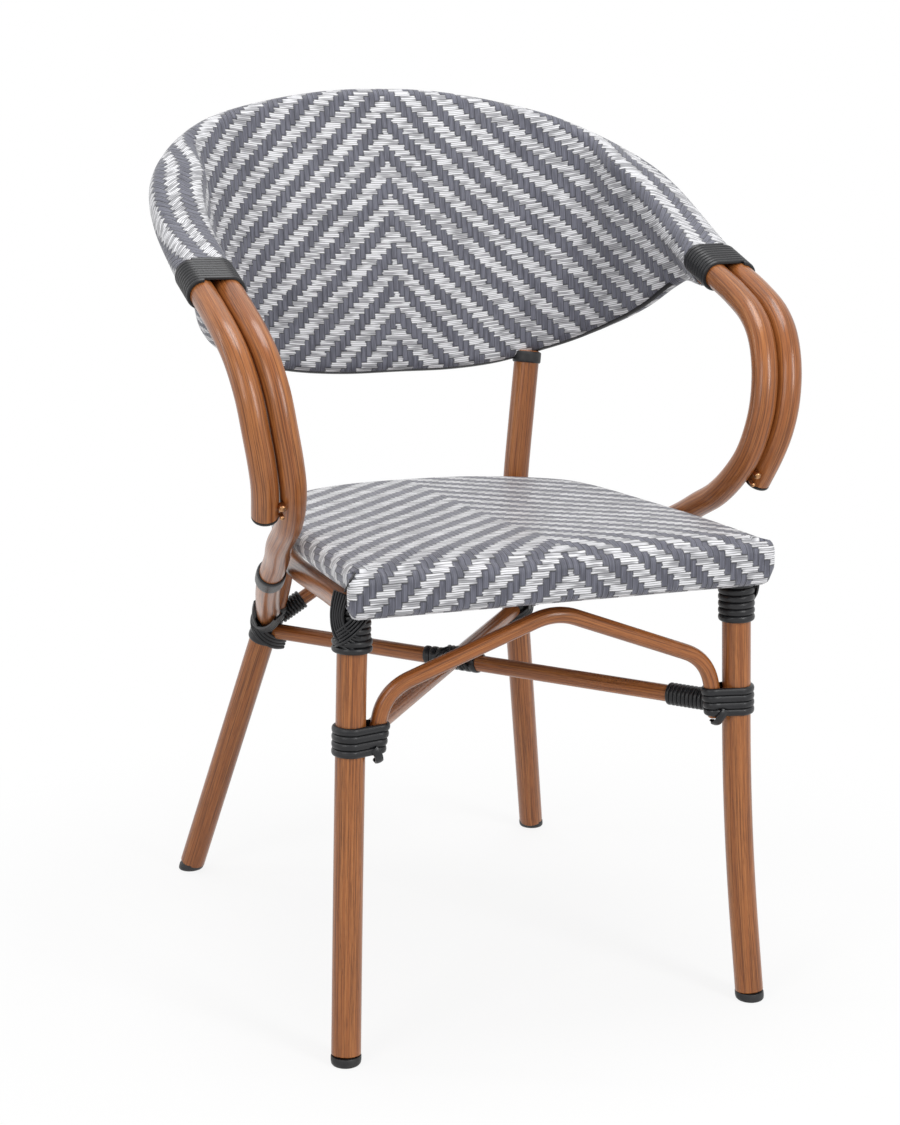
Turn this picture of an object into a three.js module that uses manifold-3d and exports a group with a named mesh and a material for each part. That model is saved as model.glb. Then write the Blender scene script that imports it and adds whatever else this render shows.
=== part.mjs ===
// Bistro armchair: bent aluminium tubes with a cane print, a woven sling seat and back, black wound bindings.
// Millimetres, +Z up. The sitter faces -Y, the floor is z = 0 and x = 0 is the plane of symmetry.

import * as THREE from 'three';
import { mergeVertices } from 'three/addons/utils/BufferGeometryUtils.js';
import Module from 'manifold-3d';

const wasm = await Module();
wasm.setup();

// Clearances and the fineness of the bends
const contactGap = 0.3;
const cutOverrun = 40;
const bendError = 0.5;
const clothBendError = 0.8;

// Tube diameters
const legDiameter = 27;
const armDiameter = 24.8;
const seatTubeDiameter = 24;
const railDiameter = 22;
const stretcherDiameter = 16.5;
const bowDiameter = 15;
const lowerRimDiameter = 16;

// Front legs: foot and knee; the top stands under the seat tube
const frontFootX = 205;
const frontFootY = -275;
const frontKneeX = 195;
const frontLegY = -256.5;
const frontKneeZ = 176;
const frontKneeReach = 110;

// Rear legs: foot, and knee behind the seat; the top holds the lower rim of the back
const rearFootX = 208.5;
const rearFootY = 275;
const rearKneeX = 123.5;
const rearKneeY = 137.5;
const rearKneeZ = 396;
const rearKneeReach = 80;
const rearTopX = 150;
const rearTopTuck = 3;

// Foot glides
const glideHeight = 8.5;
const glideChamfer = 1.6;

// Seat: the bent tube round its sides and rear, and the tall front rail under the apron
const seatTubeZ = 441.5;
const seatTilt = 3.5;
const seatSideX = 187;
const seatRearY = 131;
const frontRailY = -289;
const frontRailZ = 433.5;
const frontRailThickness = 19;
const frontRailHeight = 38;
const frontRailOverhang = 2;
const apronOverhang = 3;
const seatSag = 6;

// Rails and stretchers between the legs
const sideRailFall = 49.5;
const crossRailFall = 25.5;
const rearRailSetback = 8.5;
const braceZ = 293;
const braceTilt = 2;

// Bows: a peak between the legs, with the ends down along them
const bowFootZ = 281.5;
const frontBowKneeX = 160;
const frontBowKneeZ = 338;
const frontBowPeakY = -268.5;
const frontBowPeakZ = 400;
const bowKneeReach = 26;
const bowPeakReach = 46;
const rearBowFootZ = 302;
const rearBowPeakY = 150;
const rearBowPeakZ = 398;

// Arms: a straight stretch under the band, then a forward loop
const armX = 273;
const bandFrontY = -95;
const bandFrontZ = 677;
const bandRearY = -45;
const bandRearZ = 694;
const armTuck = 27;
const armReach = 119;
const armDrop = 187;
const armUnderRun = 274;
const armPairGap = 0.8;
const armJointZ = 308;
const plugLength = 2;
const plugDome = 4;

// Back: the upper rim rises behind the bands, and the lower rim hangs under it
const rimDepth = 257;
const rimRise = 151.5;
const lowerRimX = 260;
const lowerRimY = 158;
const lowerRimZ = 577;
const lowerRimEndDrop = 20;
const backBow = 4;

// Sling cloth
const clothThickness = 1.2;
const clothGap = 0.4;
const hemSetback = 2;

// Wound strips and sleeves
const stripThickness = 1.7;
const stripGap = 0.5;
const frontTopBindingLength = 54;
const frontTopBindingDrop = 6;
const beltLength = 29;
const rearBindingLow = 284;
const rearBindingLength = 42;
const crossingLength = 68;
const wrapLength = 33;
const wrapThickness = 2.4;
const strapY = 0;
const strapLength = 30;
const strapWall = 2.4;
const collarLength = 13;
const collarWall = 1.6;
const bowSleeveLength = 30;
const bowSleeveWall = 2.8;

// Studs in the groove between the two arm tubes
const studFromEnd = 17;
const screwFromEnd = 6;
const studDiameter = 7;
const screwDiameter = 4.6;
const studRoot = 6;
const studProud = 1;
const studDome = 1.2;

// Turns of the wound strips, and sides of the sections
const bandTurns = 9;
const frontTopTurns = 5;
const beltTurns = 3;
const rearBindingTurns = 4;
const crossingTurns = 6;
const wrapTurns = 8;
const tubeSides = 14;
const slimSides = 12;
const windingSides = 10;
const bendProbes = 16;

// Steps of the cloth round its tubes, and how far round it goes
const lowerRollSteps = 7;
const lowerRollTurn = (200 * Math.PI) / 180;
const frontRollSteps = 4;
const rearRollSteps = 5;
const crownTurn = Math.PI / 18;
const upperRollTurn = (225 * Math.PI) / 180;
const sideWrapSteps = 8;
const sideWrapTurn = (240 * Math.PI) / 180;
const frontWrapSteps = 7;
const seatRings = 3;

// Half of the upper rim from the middle to the band: shares of armX, of rimDepth and of rimRise
const rimShares = [
  [0, 1, 1],
  [0.183, 0.998, 0.99],
  [0.366, 0.988, 0.95],
  [0.549, 0.961, 0.884],
  [0.678, 0.907, 0.818],
  [0.799, 0.809, 0.713],
  [0.897, 0.673, 0.587],
  [0.956, 0.545, 0.473],
  [0.985, 0.424, 0.36],
  [0.998, 0.294, 0.238],
  [1, 0.225, 0.178],
  [1, 0.125, 0.096],
];

// Half of the lower rim from the middle to its end: shares of lowerRimX, of its depth and of its rise
const lowerRimShares = [
  [0, 0.985, 0],
  [0.231, 0.992, 0],
  [0.423, 1, 0.042],
  [0.565, 0.995, 0.121],
  [0.688, 0.883, 0.244],
  [0.781, 0.766, 0.375],
  [0.869, 0.55, 0.583],
  [0.908, 0.413, 0.725],
  [0.954, 0.236, 0.95],
  [0.979, 0.144, 1.035],
  [1, 0, 1],
];

// Outer arm loop after the band: shares of armTuck, of armReach and of armDrop
const armShares = [
  [0, 0.294, 0.067],
  [0.04, 0.597, 0.155],
  [0.15, 0.798, 0.257],
  [0.31, 0.941, 0.412],
  [0.48, 0.992, 0.588],
  [0.667, 0.975, 0.733],
  [0.83, 0.912, 0.85],
  [1, 0.773, 1],
];
const innerArmCount = 7;

// Inner arm tube under the seat: shares from the loop's end toward the seat side, along armUnderRun, and down
const armUnderShares = [
  [0, 0.102, -0.12],
  [0.13, 0.195, 0.31],
  [0.25, 0.301, 0.62],
  [0.36, 0.408, 0.93],
  [0.73, 0.6, 1.46],
  [0.97, 0.781, 2.02],
  [1.39, 1, 2.64],
];

// Right half of the seat tube from the front to the rear: shares of seatSideX and of its depth
const seatTubeShares = [
  [1.002, 0],
  [1, 0.129],
  [0.984, 0.298],
  [0.952, 0.467],
  [0.92, 0.637],
  [0.882, 0.758],
  [0.834, 0.83],
  [0.755, 0.876],
  [0.647, 0.917],
  [0.532, 0.952],
  [0.321, 0.988],
  [0, 1],
];

// Side rail between the leg ends: shares of seatSideX, of its run and of sideRailFall
const sideRailShares = [
  [0.963, 0.194, 0.657],
  [0.914, 0.423, 0.798],
  [0.85, 0.676, 0.96],
  [0.78, 0.854, 1],
];
const sideRailFrontShare = 0.576;
const sideRailRearShare = 0.92;

// Stations of the back cloth along the upper rim, and where the inner rim tube ends
const backStationShares = [0, 0.1, 0.2, 0.3, 0.39, 0.46, 0.52, 0.58, 0.64, 0.7, 0.77, 0.85, 0.93, 1];
const innerRimShare = 0.64;
const innerFadeShare = 0.16;
const panelShares = [0.25, 0.5, 0.75];
const apronShares = [1, 0.72, 0.3, -0.3, -0.72, -1];

// Colours and finishes
function finish(color, roughness, metalness) {
  return () => new THREE.MeshStandardMaterial({ color, roughness, metalness });
}
const caneTube = finish(0xb0734a, 0.38, 0.25);
const blackStrip = finish(0x232626, 0.45, 0);
const blackPlastic = finish(0x1b1c1d, 0.5, 0);
const slingCloth = finish(0x93959c, 0.8, 0);

const chair = new THREE.Group();

// Six times the signed volume, which is above zero where the faces point out
function facing(geometry) {
  const place = geometry.attributes.position;
  const index = geometry.index ? geometry.index.array : null;
  const count = index ? index.length : place.count;
  const corners = [new THREE.Vector3(), new THREE.Vector3(), new THREE.Vector3()];
  let sum = 0;
  for (let i = 0; i < count; i += 3) {
    corners.forEach((corner, k) => corner.fromBufferAttribute(place, index ? index[i + k] : i + k));
    sum += corners[0].dot(corners[1].cross(corners[2]));
  }
  return sum;
}

function outward(geometry) {
  const merged = bareGeometry(geometry);
  if (facing(merged) < 0) {
    merged.index.array.reverse();
  }
  return merged;
}

function bareGeometry(geometry) {
  const bare = geometry.clone();
  bare.deleteAttribute('normal');
  bare.deleteAttribute('uv');
  return mergeVertices(bare);
}

function add(name, geometry, material) {
  const mesh = new THREE.Mesh(outward(geometry), material());
  mesh.name = name;
  chair.add(mesh);
}

// A piece made on the right, and its mirror image on the left
function addPair(name, geometry, material) {
  add(`${name}_right`, geometry, material);
  add(`${name}_left`, geometry.clone().scale(-1, 1, 1), material);
}

const up = new THREE.Vector3(0, 0, 1);

function at(x, y, z) {
  return new THREE.Vector3(x, y, z);
}

function mix(a, b, share) {
  return a + (b - a) * share;
}

function mirrored(points) {
  return points.map((p) => at(-p.x, p.y, p.z));
}

// Solids for cuts
function toSolid(geometry) {
  const merged = outward(geometry);
  const vertProperties = new Float32Array(merged.attributes.position.array);
  const triVerts = new Uint32Array(merged.index.array);
  return new wasm.Manifold(new wasm.Mesh({ numProp: 3, vertProperties, triVerts }));
}

function toGeometry(solid) {
  const mesh = solid.getMesh();
  const geometry = new THREE.BufferGeometry();
  geometry.setAttribute('position', new THREE.BufferAttribute(new Float32Array(mesh.vertProperties), 3));
  geometry.setIndex(new THREE.BufferAttribute(new Uint32Array(mesh.triVerts), 1));
  return geometry;
}

function cut(geometry, tools) {
  let solid = toSolid(geometry);
  for (const tool of tools) {
    solid = solid.subtract(toSolid(tool));
  }
  return toGeometry(solid);
}

function keep(geometry, tool) {
  return toGeometry(toSolid(geometry).intersect(toSolid(tool)));
}

// A path whose rings lie at chosen points, each square to its own direction
class StationPath extends THREE.Curve {
  constructor(points, directions) {
    super();
    this.points = points;
    this.directions = directions;
  }

  getPoint(share) {
    const place = share * (this.points.length - 1);
    const index = Math.min(Math.floor(place), this.points.length - 2);
    return this.points[index].clone().lerp(this.points[index + 1], place - index);
  }

  getPointAt(share) {
    return this.getPoint(share);
  }

  getTangentAt(share) {
    const index = Math.round(share * (this.points.length - 1));
    return this.directions[index].clone();
  }
}

// Shares along a curve such that the straight runs between them stay within an error of it
function bendStations(curve, from, to, allowed) {
  const start = curve.getPointAt(from);
  const run = curve.getPointAt(to).sub(start);
  let worst = 0;
  let split = from;
  for (let i = 1; i < bendProbes; i += 1) {
    const share = mix(from, to, i / bendProbes);
    const error = curve.getPointAt(share).sub(start).cross(run).length() / run.length();
    if (error > worst) {
      worst = error;
      split = share;
    }
  }
  if (worst < allowed) {
    return [from];
  }
  return [...bendStations(curve, from, split, allowed), ...bendStations(curve, split, to, allowed)];
}

function along(curve, shares) {
  const points = shares.map((share) => curve.getPointAt(share));
  const directions = shares.map((share) => curve.getTangentAt(share));
  return new StationPath(points, directions);
}

// Stations between given stops; a path of straight runs and bends also stops at their joints
function stationShares(curve, stops = [0, 1], allowed = bendError) {
  const joints = curve.curves ? curve.getCurveLengths().map((length) => length / curve.getLength()) : [];
  const end = stops[stops.length - 1];
  const inner = joints.filter((share) => share > stops[0] && share < end);
  const all = [...stops, ...inner].sort((a, b) => a - b);
  const runs = all.slice(0, -1).flatMap((stop, i) => bendStations(curve, stop, all[i + 1], allowed));
  return [...runs, end];
}

function stationed(curve, stops) {
  return along(curve, stationShares(curve, stops));
}

function circleOutline(radius, count) {
  const points = [];
  for (let i = 0; i < count; i += 1) {
    const angle = (2 * Math.PI * i) / count;
    points.push(new THREE.Vector2(radius * Math.cos(angle), radius * Math.sin(angle)));
  }
  return points;
}

function sweep(path, shape) {
  const steps = path.points.length - 1;
  return new THREE.ExtrudeGeometry(shape, { steps, extrudePath: path, bevelEnabled: false });
}

function tube(path, radius, count) {
  return sweep(path, new THREE.Shape(circleOutline(radius, count)));
}

function straight(start, end) {
  const direction = end.clone().sub(start).normalize();
  return new StationPath([start, end], [direction, direction]);
}

// The radius at which a ring of flat sides clears a round tube
function clearRadius(radius, count, gap = contactGap) {
  return (radius + gap) / Math.cos(Math.PI / count);
}

function clothRadius(radius) {
  return clearRadius(radius, slimSides, clothGap);
}

function sleeve(path, radius, wall, count) {
  const inner = clearRadius(radius, count);
  const shape = new THREE.Shape(circleOutline(inner + wall, count));
  shape.holes.push(new THREE.Path(circleOutline(inner, count).reverse()));
  return sweep(path, shape);
}

// Straight runs whose corners are rounded over a given reach
function bentPath(points, reaches) {
  const path = new THREE.CurvePath();
  let from = points[0];
  for (let i = 1; i < points.length - 1; i += 1) {
    const corner = points[i];
    const before = corner.clone().add(points[i - 1].clone().sub(corner).setLength(reaches[i - 1]));
    const after = corner.clone().add(points[i + 1].clone().sub(corner).setLength(reaches[i - 1]));
    path.add(new THREE.LineCurve3(from, before));
    path.add(new THREE.QuadraticBezierCurve3(before, corner, after));
    from = after;
  }
  path.add(new THREE.LineCurve3(from, points[points.length - 1]));
  return path;
}

function smoothPath(points) {
  return new THREE.CatmullRomCurve3(points, false, 'centripetal');
}

// The share of a curve where one coordinate, which grows from one share to the other, reaches a value
function shareWhere(curve, axis, value, from = 0, to = 1) {
  let low = from;
  let high = to;
  for (let i = 0; i < 40; i += 1) {
    const middle = (low + high) / 2;
    if (curve.getPointAt(middle)[axis] < value) {
      low = middle;
    } else {
      high = middle;
    }
  }
  return low;
}

function pointWhere(curve, axis, value, from, to) {
  return curve.getPointAt(shareWhere(curve, axis, value, from, to));
}

const legRadius = legDiameter / 2;
const armRadius = armDiameter / 2;
const seatTubeRadius = seatTubeDiameter / 2;
const railRadius = railDiameter / 2;
const stretcherRadius = stretcherDiameter / 2;
const bowRadius = bowDiameter / 2;
const lowerRimRadius = lowerRimDiameter / 2;
const pairSpacing = armDiameter + armPairGap;
const pairShift = at(-pairSpacing, 0, 0);
const frontRailHalfLength = seatSideX + seatTubeRadius + frontRailOverhang;

// Seat tube: its right half runs from the front rail to the rear, and the left half mirrors it
const seatFrontY = frontRailY + frontRailThickness / 2 + contactGap;
const seatHalf = seatTubeShares.map(([x, y]) => at(
  seatSideX * x,
  mix(seatFrontY, seatRearY, y),
  seatTubeZ + seatTilt * (1 - y),
));
const seatCurve = smoothPath([...mirrored(seatHalf), ...seatHalf.slice(0, -1).reverse()]);
const seatShares = stationShares(seatCurve, [0, 1 / 2, 1], clothBendError);
const seatClothRadius = clothRadius(seatTubeRadius) + clothThickness;

// Rims of the back, from the left band to the right band
const rimHalf = rimShares.map(([x, y, z]) => at(armX * x, bandRearY + rimDepth * y, bandRearZ + rimRise * z));
const bandRear = at(armX, bandRearY, bandRearZ);
const bandFront = at(armX, bandFrontY, bandFrontZ);
const bandMiddle = bandRear.clone().lerp(bandFront, 1 / 2);
const rightRim = [...rimHalf, bandRear, bandMiddle];
const rimCurve = smoothPath([...mirrored(rightRim).reverse(), ...rightRim.slice(1)]);
const bandSlope = (bandRearZ - bandFrontZ) / (bandRearY - bandFrontY);
const lowerEndY = bandRearY + lowerRimEndDrop * bandSlope + contactGap;
const lowerRise = bandRearZ - lowerRimEndDrop - lowerRimZ;
const rightLower = lowerRimShares.map(([x, y, z]) => at(
  lowerRimX * x,
  mix(lowerEndY, lowerRimY, y),
  lowerRimZ + lowerRise * z,
));
const lowerCurve = smoothPath([...mirrored(rightLower).reverse(), ...rightLower.slice(1)]);

// Legs, on the right: the front one stands under the seat tube, the rear one reaches the lower rim
function standing(foot, knee, top, reach) {
  const below = foot.clone().add(foot.clone().sub(knee).setLength(cutOverrun));
  return bentPath([below, knee, top], [reach]);
}

function slab(lowZ, highZ) {
  const reach = 2 * (armX + rearFootY);
  const box = new THREE.BoxGeometry(2 * reach, 2 * reach, highZ - lowZ);
  return box.translate(0, 0, (lowZ + highZ) / 2);
}

const frontLegHead = seatCurve.getPointAt(1 - shareWhere(seatCurve, 'y', frontLegY, 0, 1 / 2));
const frontLegCurve = standing(
  at(frontFootX, frontFootY, 0),
  at(frontKneeX, frontLegY, frontKneeZ),
  frontLegHead,
  frontKneeReach,
);
const frontLegTopZ = frontLegHead.z - seatClothRadius - contactGap;
const rearLegHead = pointWhere(lowerCurve, 'x', rearTopX, 1 / 2, 1);
const rearLegCurve = standing(
  at(rearFootX, rearFootY, 0),
  at(rearKneeX, rearKneeY, rearKneeZ),
  rearLegHead,
  rearKneeReach,
);
const backShares = [...backStationShares.slice(1).map((share) => -share).reverse(), ...backStationShares];
const lowerShares = backShares.map((share) => 1 / 2 + share / 2);
const hemRadius = clothRadius(lowerRimRadius) + clothThickness;
const rearLegTopZ = rearLegHead.z - hemRadius + rearTopTuck;

function legCut(curve) {
  return tube(stationed(curve), legRadius + contactGap, tubeSides);
}

const frontLegCut = legCut(frontLegCurve);
const rearLegCut = legCut(rearLegCurve);
const lowerRimCut = tube(along(lowerCurve, lowerShares), clearRadius(hemRadius, slimSides), slimSides);

function legs() {
  const front = tube(stationed(frontLegCurve), legRadius, tubeSides);
  addPair('front_leg', keep(front, slab(glideHeight + contactGap, frontLegTopZ)), caneTube);
  const rear = tube(stationed(rearLegCurve), legRadius, tubeSides);
  const trimmed = keep(rear, slab(glideHeight + contactGap, rearLegTopZ));
  addPair('rear_leg', cut(trimmed, [lowerRimCut]), caneTube);
}

// A glide follows the lean of its leg and stands flat on the floor
function glide(curve) {
  const base = pointWhere(curve, 'z', 0);
  const lean = pointWhere(curve, 'z', glideHeight).sub(base).normalize();
  const turn = Math.atan2(lean.y, lean.x);
  const profile = [
    new THREE.Vector2(0, 0),
    new THREE.Vector2(legRadius - glideChamfer, 0),
    new THREE.Vector2(legRadius, glideChamfer),
    new THREE.Vector2(legRadius, glideHeight),
    new THREE.Vector2(0, glideHeight),
  ];
  const puck = new THREE.LatheGeometry(profile, tubeSides).rotateX(Math.PI / 2);
  puck.rotateZ(-turn).scale(1 / lean.z, 1, 1).rotateZ(turn);
  const shear = new THREE.Matrix4();
  shear.set(1, 0, lean.x / lean.z, base.x, 0, 1, lean.y / lean.z, base.y, 0, 0, 1, 0, 0, 0, 0, 1);
  return puck.applyMatrix4(shear);
}

// Windings: a flat strip laid round one core, or round two side by side, in one unbroken run.
// A core is the straight stretch of a tube under the strip: where it starts, where it ends, its radius.
function coreBetween(curve, axis, low, high, radius, from = 0, to = 1) {
  return {
    start: pointWhere(curve, axis, low, from, to),
    end: pointWhere(curve, axis, high, from, to),
    radius,
  };
}

function windingFrame(cores, facingWay) {
  const axis = cores[0].end.clone().sub(cores[0].start);
  const length = axis.length();
  axis.normalize();
  const toward = cores.length > 1 ? cores[1].start.clone().sub(cores[0].start) : facingWay.clone();
  toward.addScaledVector(axis, -toward.dot(axis)).normalize();
  const beside = axis.clone().cross(toward);
  return { axis, length, toward, beside };
}

function windingCorners(cores) {
  const corners = [];
  const step = (2 * Math.PI) / windingSides;
  if (cores.length === 1) {
    for (let i = 0; i < windingSides; i += 1) {
      corners.push({ core: cores[0], angle: step * i });
    }
    return corners;
  }
  cores.forEach((core, side) => {
    for (let i = 0; i <= windingSides / 2; i += 1) {
      corners.push({ core, angle: step * i + (side === 0 ? Math.PI / 2 : -Math.PI / 2) });
    }
  });
  return corners;
}

function cornerPoint(frame, corner, place, lift) {
  const share = place / frame.length;
  const radius = clearRadius(corner.core.radius, windingSides) + lift;
  return corner.core.start.clone().lerp(corner.core.end, share)
    .addScaledVector(frame.toward, radius * Math.cos(corner.angle))
    .addScaledVector(frame.beside, radius * Math.sin(corner.angle));
}

function leastSelfGap(rings, perTurn) {
  let least = Infinity;
  for (let i = 0; i < rings.length; i += 1) {
    for (let j = i + Math.ceil(perTurn / 2); j < rings.length; j += 1) {
      for (const p of rings[i]) {
        for (const q of rings[j]) {
          least = Math.min(least, p.distanceTo(q));
        }
      }
    }
  }
  return least;
}

function winding(name, cores, turns, thickness, facingWay) {
  const frame = windingFrame(cores, facingWay);
  const corners = windingCorners(cores);
  const pitch = (frame.length + stripGap) / (turns + 1);
  const width = pitch - stripGap;
  const last = Math.round(turns * corners.length);
  const rings = [];

  function ring(index, lead) {
    const corner = corners[index % corners.length];
    const low = (pitch * index) / corners.length;
    const slide = frame.toward.clone().multiplyScalar(-lead * Math.sin(corner.angle))
      .addScaledVector(frame.beside, lead * Math.cos(corner.angle));
    const edges = [[low, 0], [low + width, 0], [low + width, thickness], [low, thickness]];
    return edges.map(([place, lift]) => cornerPoint(frame, corner, place, lift).add(slide));
  }

  rings.push(ring(0, -width));
  for (let i = 0; i <= last; i += 1) {
    rings.push(ring(i, 0));
  }
  rings.push(ring(last, width));
  console.log(`${name}: least gap to itself ${leastSelfGap(rings, corners.length).toFixed(2)} mm`);
  return loft(rings);
}

// The outer shape of a winding with its clearance, for the tubes that end on it
function windingCut(cores, thickness, facingWay) {
  const frame = windingFrame(cores, facingWay);
  const lift = thickness + clearRadius(0, windingSides);
  const ends = [-contactGap, frame.length + contactGap];
  return loft(ends.map((place) => windingCorners(cores).map((corner) => cornerPoint(frame, corner, place, lift))));
}

// A closed skin over rings that have the same number of points
function loft(rings) {
  const count = rings[0].length;
  const points = rings.flat();
  const faces = [];
  for (let i = 0; i < rings.length - 1; i += 1) {
    for (let j = 0; j < count; j += 1) {
      const a = i * count + j;
      const b = i * count + ((j + 1) % count);
      faces.push(a, b, b + count, a, b + count, a + count);
    }
  }
  const end = (rings.length - 1) * count;
  for (let j = 1; j < count - 1; j += 1) {
    faces.push(0, j + 1, j, end, end + j, end + j + 1);
  }
  return fromPoints(points, faces);
}

function fromPoints(points, faces) {
  const geometry = new THREE.BufferGeometry();
  geometry.setAttribute('position', new THREE.Float32BufferAttribute(points.flatMap((p) => p.toArray()), 3));
  geometry.setIndex(faces);
  return geometry;
}

// Bows: the front one runs down inside the legs, the rear one ends against them
const bowFootShift = at(-(legRadius + bowRadius + 2 * contactGap), 0, 0);
const bowFoot = pointWhere(frontLegCurve, 'z', bowFootZ).add(bowFootShift);
const bowKnee = at(frontBowKneeX, frontLegY, frontBowKneeZ);
const frontBowCurve = bentPath(
  [bowFoot, bowKnee, at(0, frontBowPeakY, frontBowPeakZ), ...mirrored([bowKnee, bowFoot])],
  [bowKneeReach, bowPeakReach, bowKneeReach],
);
const rearBowEnd = pointWhere(rearLegCurve, 'z', rearBowFootZ);
const rearBowCurve = bentPath(
  [rearBowEnd, at(0, rearBowPeakY, rearBowPeakZ), ...mirrored([rearBowEnd])],
  [bowPeakReach],
);

// The bindings' cores, on the right
const frontTopHigh = frontLegTopZ - frontTopBindingDrop;
const frontTopCores = [
  coreBetween(frontLegCurve, 'z', frontTopHigh - frontTopBindingLength, frontTopHigh, legRadius),
];
const beltHigh = bowFootZ + beltLength;
const beltCores = [
  coreBetween(frontLegCurve, 'z', bowFootZ, beltHigh, legRadius),
  coreBetween(frontBowCurve, 'z', bowFootZ, beltHigh, bowRadius, 0, 1 / 4),
];
const rearCores = [
  coreBetween(rearLegCurve, 'z', rearBindingLow, rearBindingLow + rearBindingLength, legRadius),
];
const outwards = at(1, 0, 0);
const rearwards = at(0, 1, 0);
const frontTopCut = windingCut(frontTopCores, stripThickness, outwards);
const beltCut = windingCut(beltCores, stripThickness, outwards);
const rearCut = windingCut(rearCores, stripThickness, rearwards);

function onBothSides(tool) {
  return [tool, tool.clone().scale(-1, 1, 1)];
}

function bows() {
  add('front_bow', tube(stationed(frontBowCurve), bowRadius, slimSides), caneTube);
  const rear = tube(stationed(rearBowCurve), bowRadius, slimSides);
  add('rear_bow', cut(rear, [...onBothSides(rearCut), ...onBothSides(rearLegCut)]), caneTube);
  const start = (clearRadius(legRadius, windingSides) + stripThickness) / rearBowCurve.getLength();
  const end = start + bowSleeveLength / rearBowCurve.getLength();
  const wrap = sleeve(stationed(rearBowCurve, [start, end]), bowRadius, bowSleeveWall, slimSides);
  addPair('rear_bow_wrap', cut(wrap, [rearCut, rearLegCut]), blackStrip);
}

// Rails round the seat
function rails() {
  const frontEnd = pointWhere(frontLegCurve, 'z', seatTubeZ - sideRailFall * sideRailFrontShare);
  const rearEnd = pointWhere(rearLegCurve, 'z', seatTubeZ - sideRailFall * sideRailRearShare);
  const middle = sideRailShares.map(([x, y, z]) => at(
    seatSideX * x,
    mix(frontLegY, rearKneeY, y),
    seatTubeZ - sideRailFall * z,
  ));
  const sideRail = tube(stationed(smoothPath([frontEnd, ...middle, rearEnd])), railRadius, tubeSides);
  addPair('side_rail', cut(sideRail, [frontLegCut, frontTopCut, rearLegCut]), caneTube);

  const crossEnd = pointWhere(frontLegCurve, 'z', seatTubeZ - crossRailFall);
  const crossRail = tube(straight(crossEnd, mirrored([crossEnd])[0]), railRadius, tubeSides);
  add('front_cross_rail', cut(crossRail, [...onBothSides(frontTopCut), ...onBothSides(frontLegCut)]), caneTube);

  const contact = seatClothRadius + railRadius + contactGap;
  const rearZ = seatTubeZ - Math.sqrt(contact * contact - rearRailSetback * rearRailSetback);
  const rearEndX = pointWhere(rearLegCurve, 'z', rearZ).x;
  const rearRailEnd = at(rearEndX, seatRearY + rearRailSetback, rearZ);
  const rearRail = tube(straight(rearRailEnd, mirrored([rearRailEnd])[0]), railRadius, tubeSides);
  add('rear_rail', cut(rearRail, onBothSides(rearLegCut)), caneTube);
}

// Stretchers: one runs through from leg to leg, the other ends on the binding at the crossing
const braceRear = pointWhere(rearLegCurve, 'z', braceZ + braceTilt);
const braceFront = pointWhere(frontLegCurve, 'z', braceZ - braceTilt);
const throughLine = new THREE.LineCurve3(mirrored([braceRear])[0], braceFront);
const crossing = pointWhere(throughLine, 'x', 0);
const throughWay = braceFront.clone().sub(crossing).normalize();
const crossingCores = [{
  start: crossing.clone().addScaledVector(throughWay, -crossingLength / 2),
  end: crossing.clone().addScaledVector(throughWay, crossingLength / 2),
  radius: stretcherRadius,
}];
const crossingCut = windingCut(crossingCores, stripThickness, up);

// The fine winding on the through stretcher starts where it clears the belt on the front leg
function wrapStart() {
  const outer = clearRadius(stretcherRadius, windingSides) + wrapThickness;
  const belt = clearRadius(bowRadius, windingSides) + stripThickness;
  const toBow = beltCores[1].start.clone().lerp(beltCores[1].end, 1 / 2).sub(braceFront);
  const behind = -toBow.dot(throughWay);
  const beside = Math.sqrt(toBow.lengthSq() - behind * behind);
  const needed = outer + belt + contactGap;
  return behind + Math.sqrt(Math.max(0, needed * needed - beside * beside));
}

function stretchers() {
  const through = tube(straight(throughLine.v1, throughLine.v2), stretcherRadius, slimSides);
  add('stretcher_through', cut(through, [beltCut, rearCut.clone().scale(-1, 1, 1)]), caneTube);
  const leftFront = mirrored([braceFront])[0];
  const front = tube(straight(leftFront, crossing), stretcherRadius, slimSides);
  add('stretcher_front_half', cut(front, [beltCut.clone().scale(-1, 1, 1), crossingCut]), caneTube);
  const rear = tube(straight(crossing, braceRear), stretcherRadius, slimSides);
  add('stretcher_rear_half', cut(rear, [rearCut, crossingCut]), caneTube);

  const start = braceFront.clone().addScaledVector(throughWay, -wrapStart());
  const wrapCores = [{
    start,
    end: start.clone().addScaledVector(throughWay, -wrapLength),
    radius: stretcherRadius,
  }];
  add('stretcher_wrap', winding('stretcher_wrap', wrapCores, wrapTurns, wrapThickness, up), blackStrip);
  const cross = winding('crossing_binding', crossingCores, crossingTurns, stripThickness, up);
  add('crossing_binding', cross, blackStrip);
}

// Arms, on the right: two tubes side by side, of which the inner one runs on under the seat
const armLoop = armShares.map(([x, y, z]) => at(
  armX - armTuck * x,
  bandFrontY - armReach * y,
  bandFrontZ - armDrop * z,
));
const outerArmCurve = smoothPath([bandMiddle, bandFront, ...armLoop]);
const armEnd = armLoop[armLoop.length - 1];
const armUnder = armUnderShares.map(([x, y, z]) => at(
  mix(armEnd.x - pairSpacing, seatSideX, x),
  bandFrontY - armReach + armUnderRun * y,
  mix(armEnd.z, seatTubeZ, z),
));
const innerArmCurve = smoothPath([
  ...[bandMiddle, bandFront, ...armLoop.slice(0, innerArmCount)].map((p) => p.clone().add(pairShift)),
  ...armUnder,
  pointWhere(rearLegCurve, 'z', armJointZ),
]);

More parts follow.
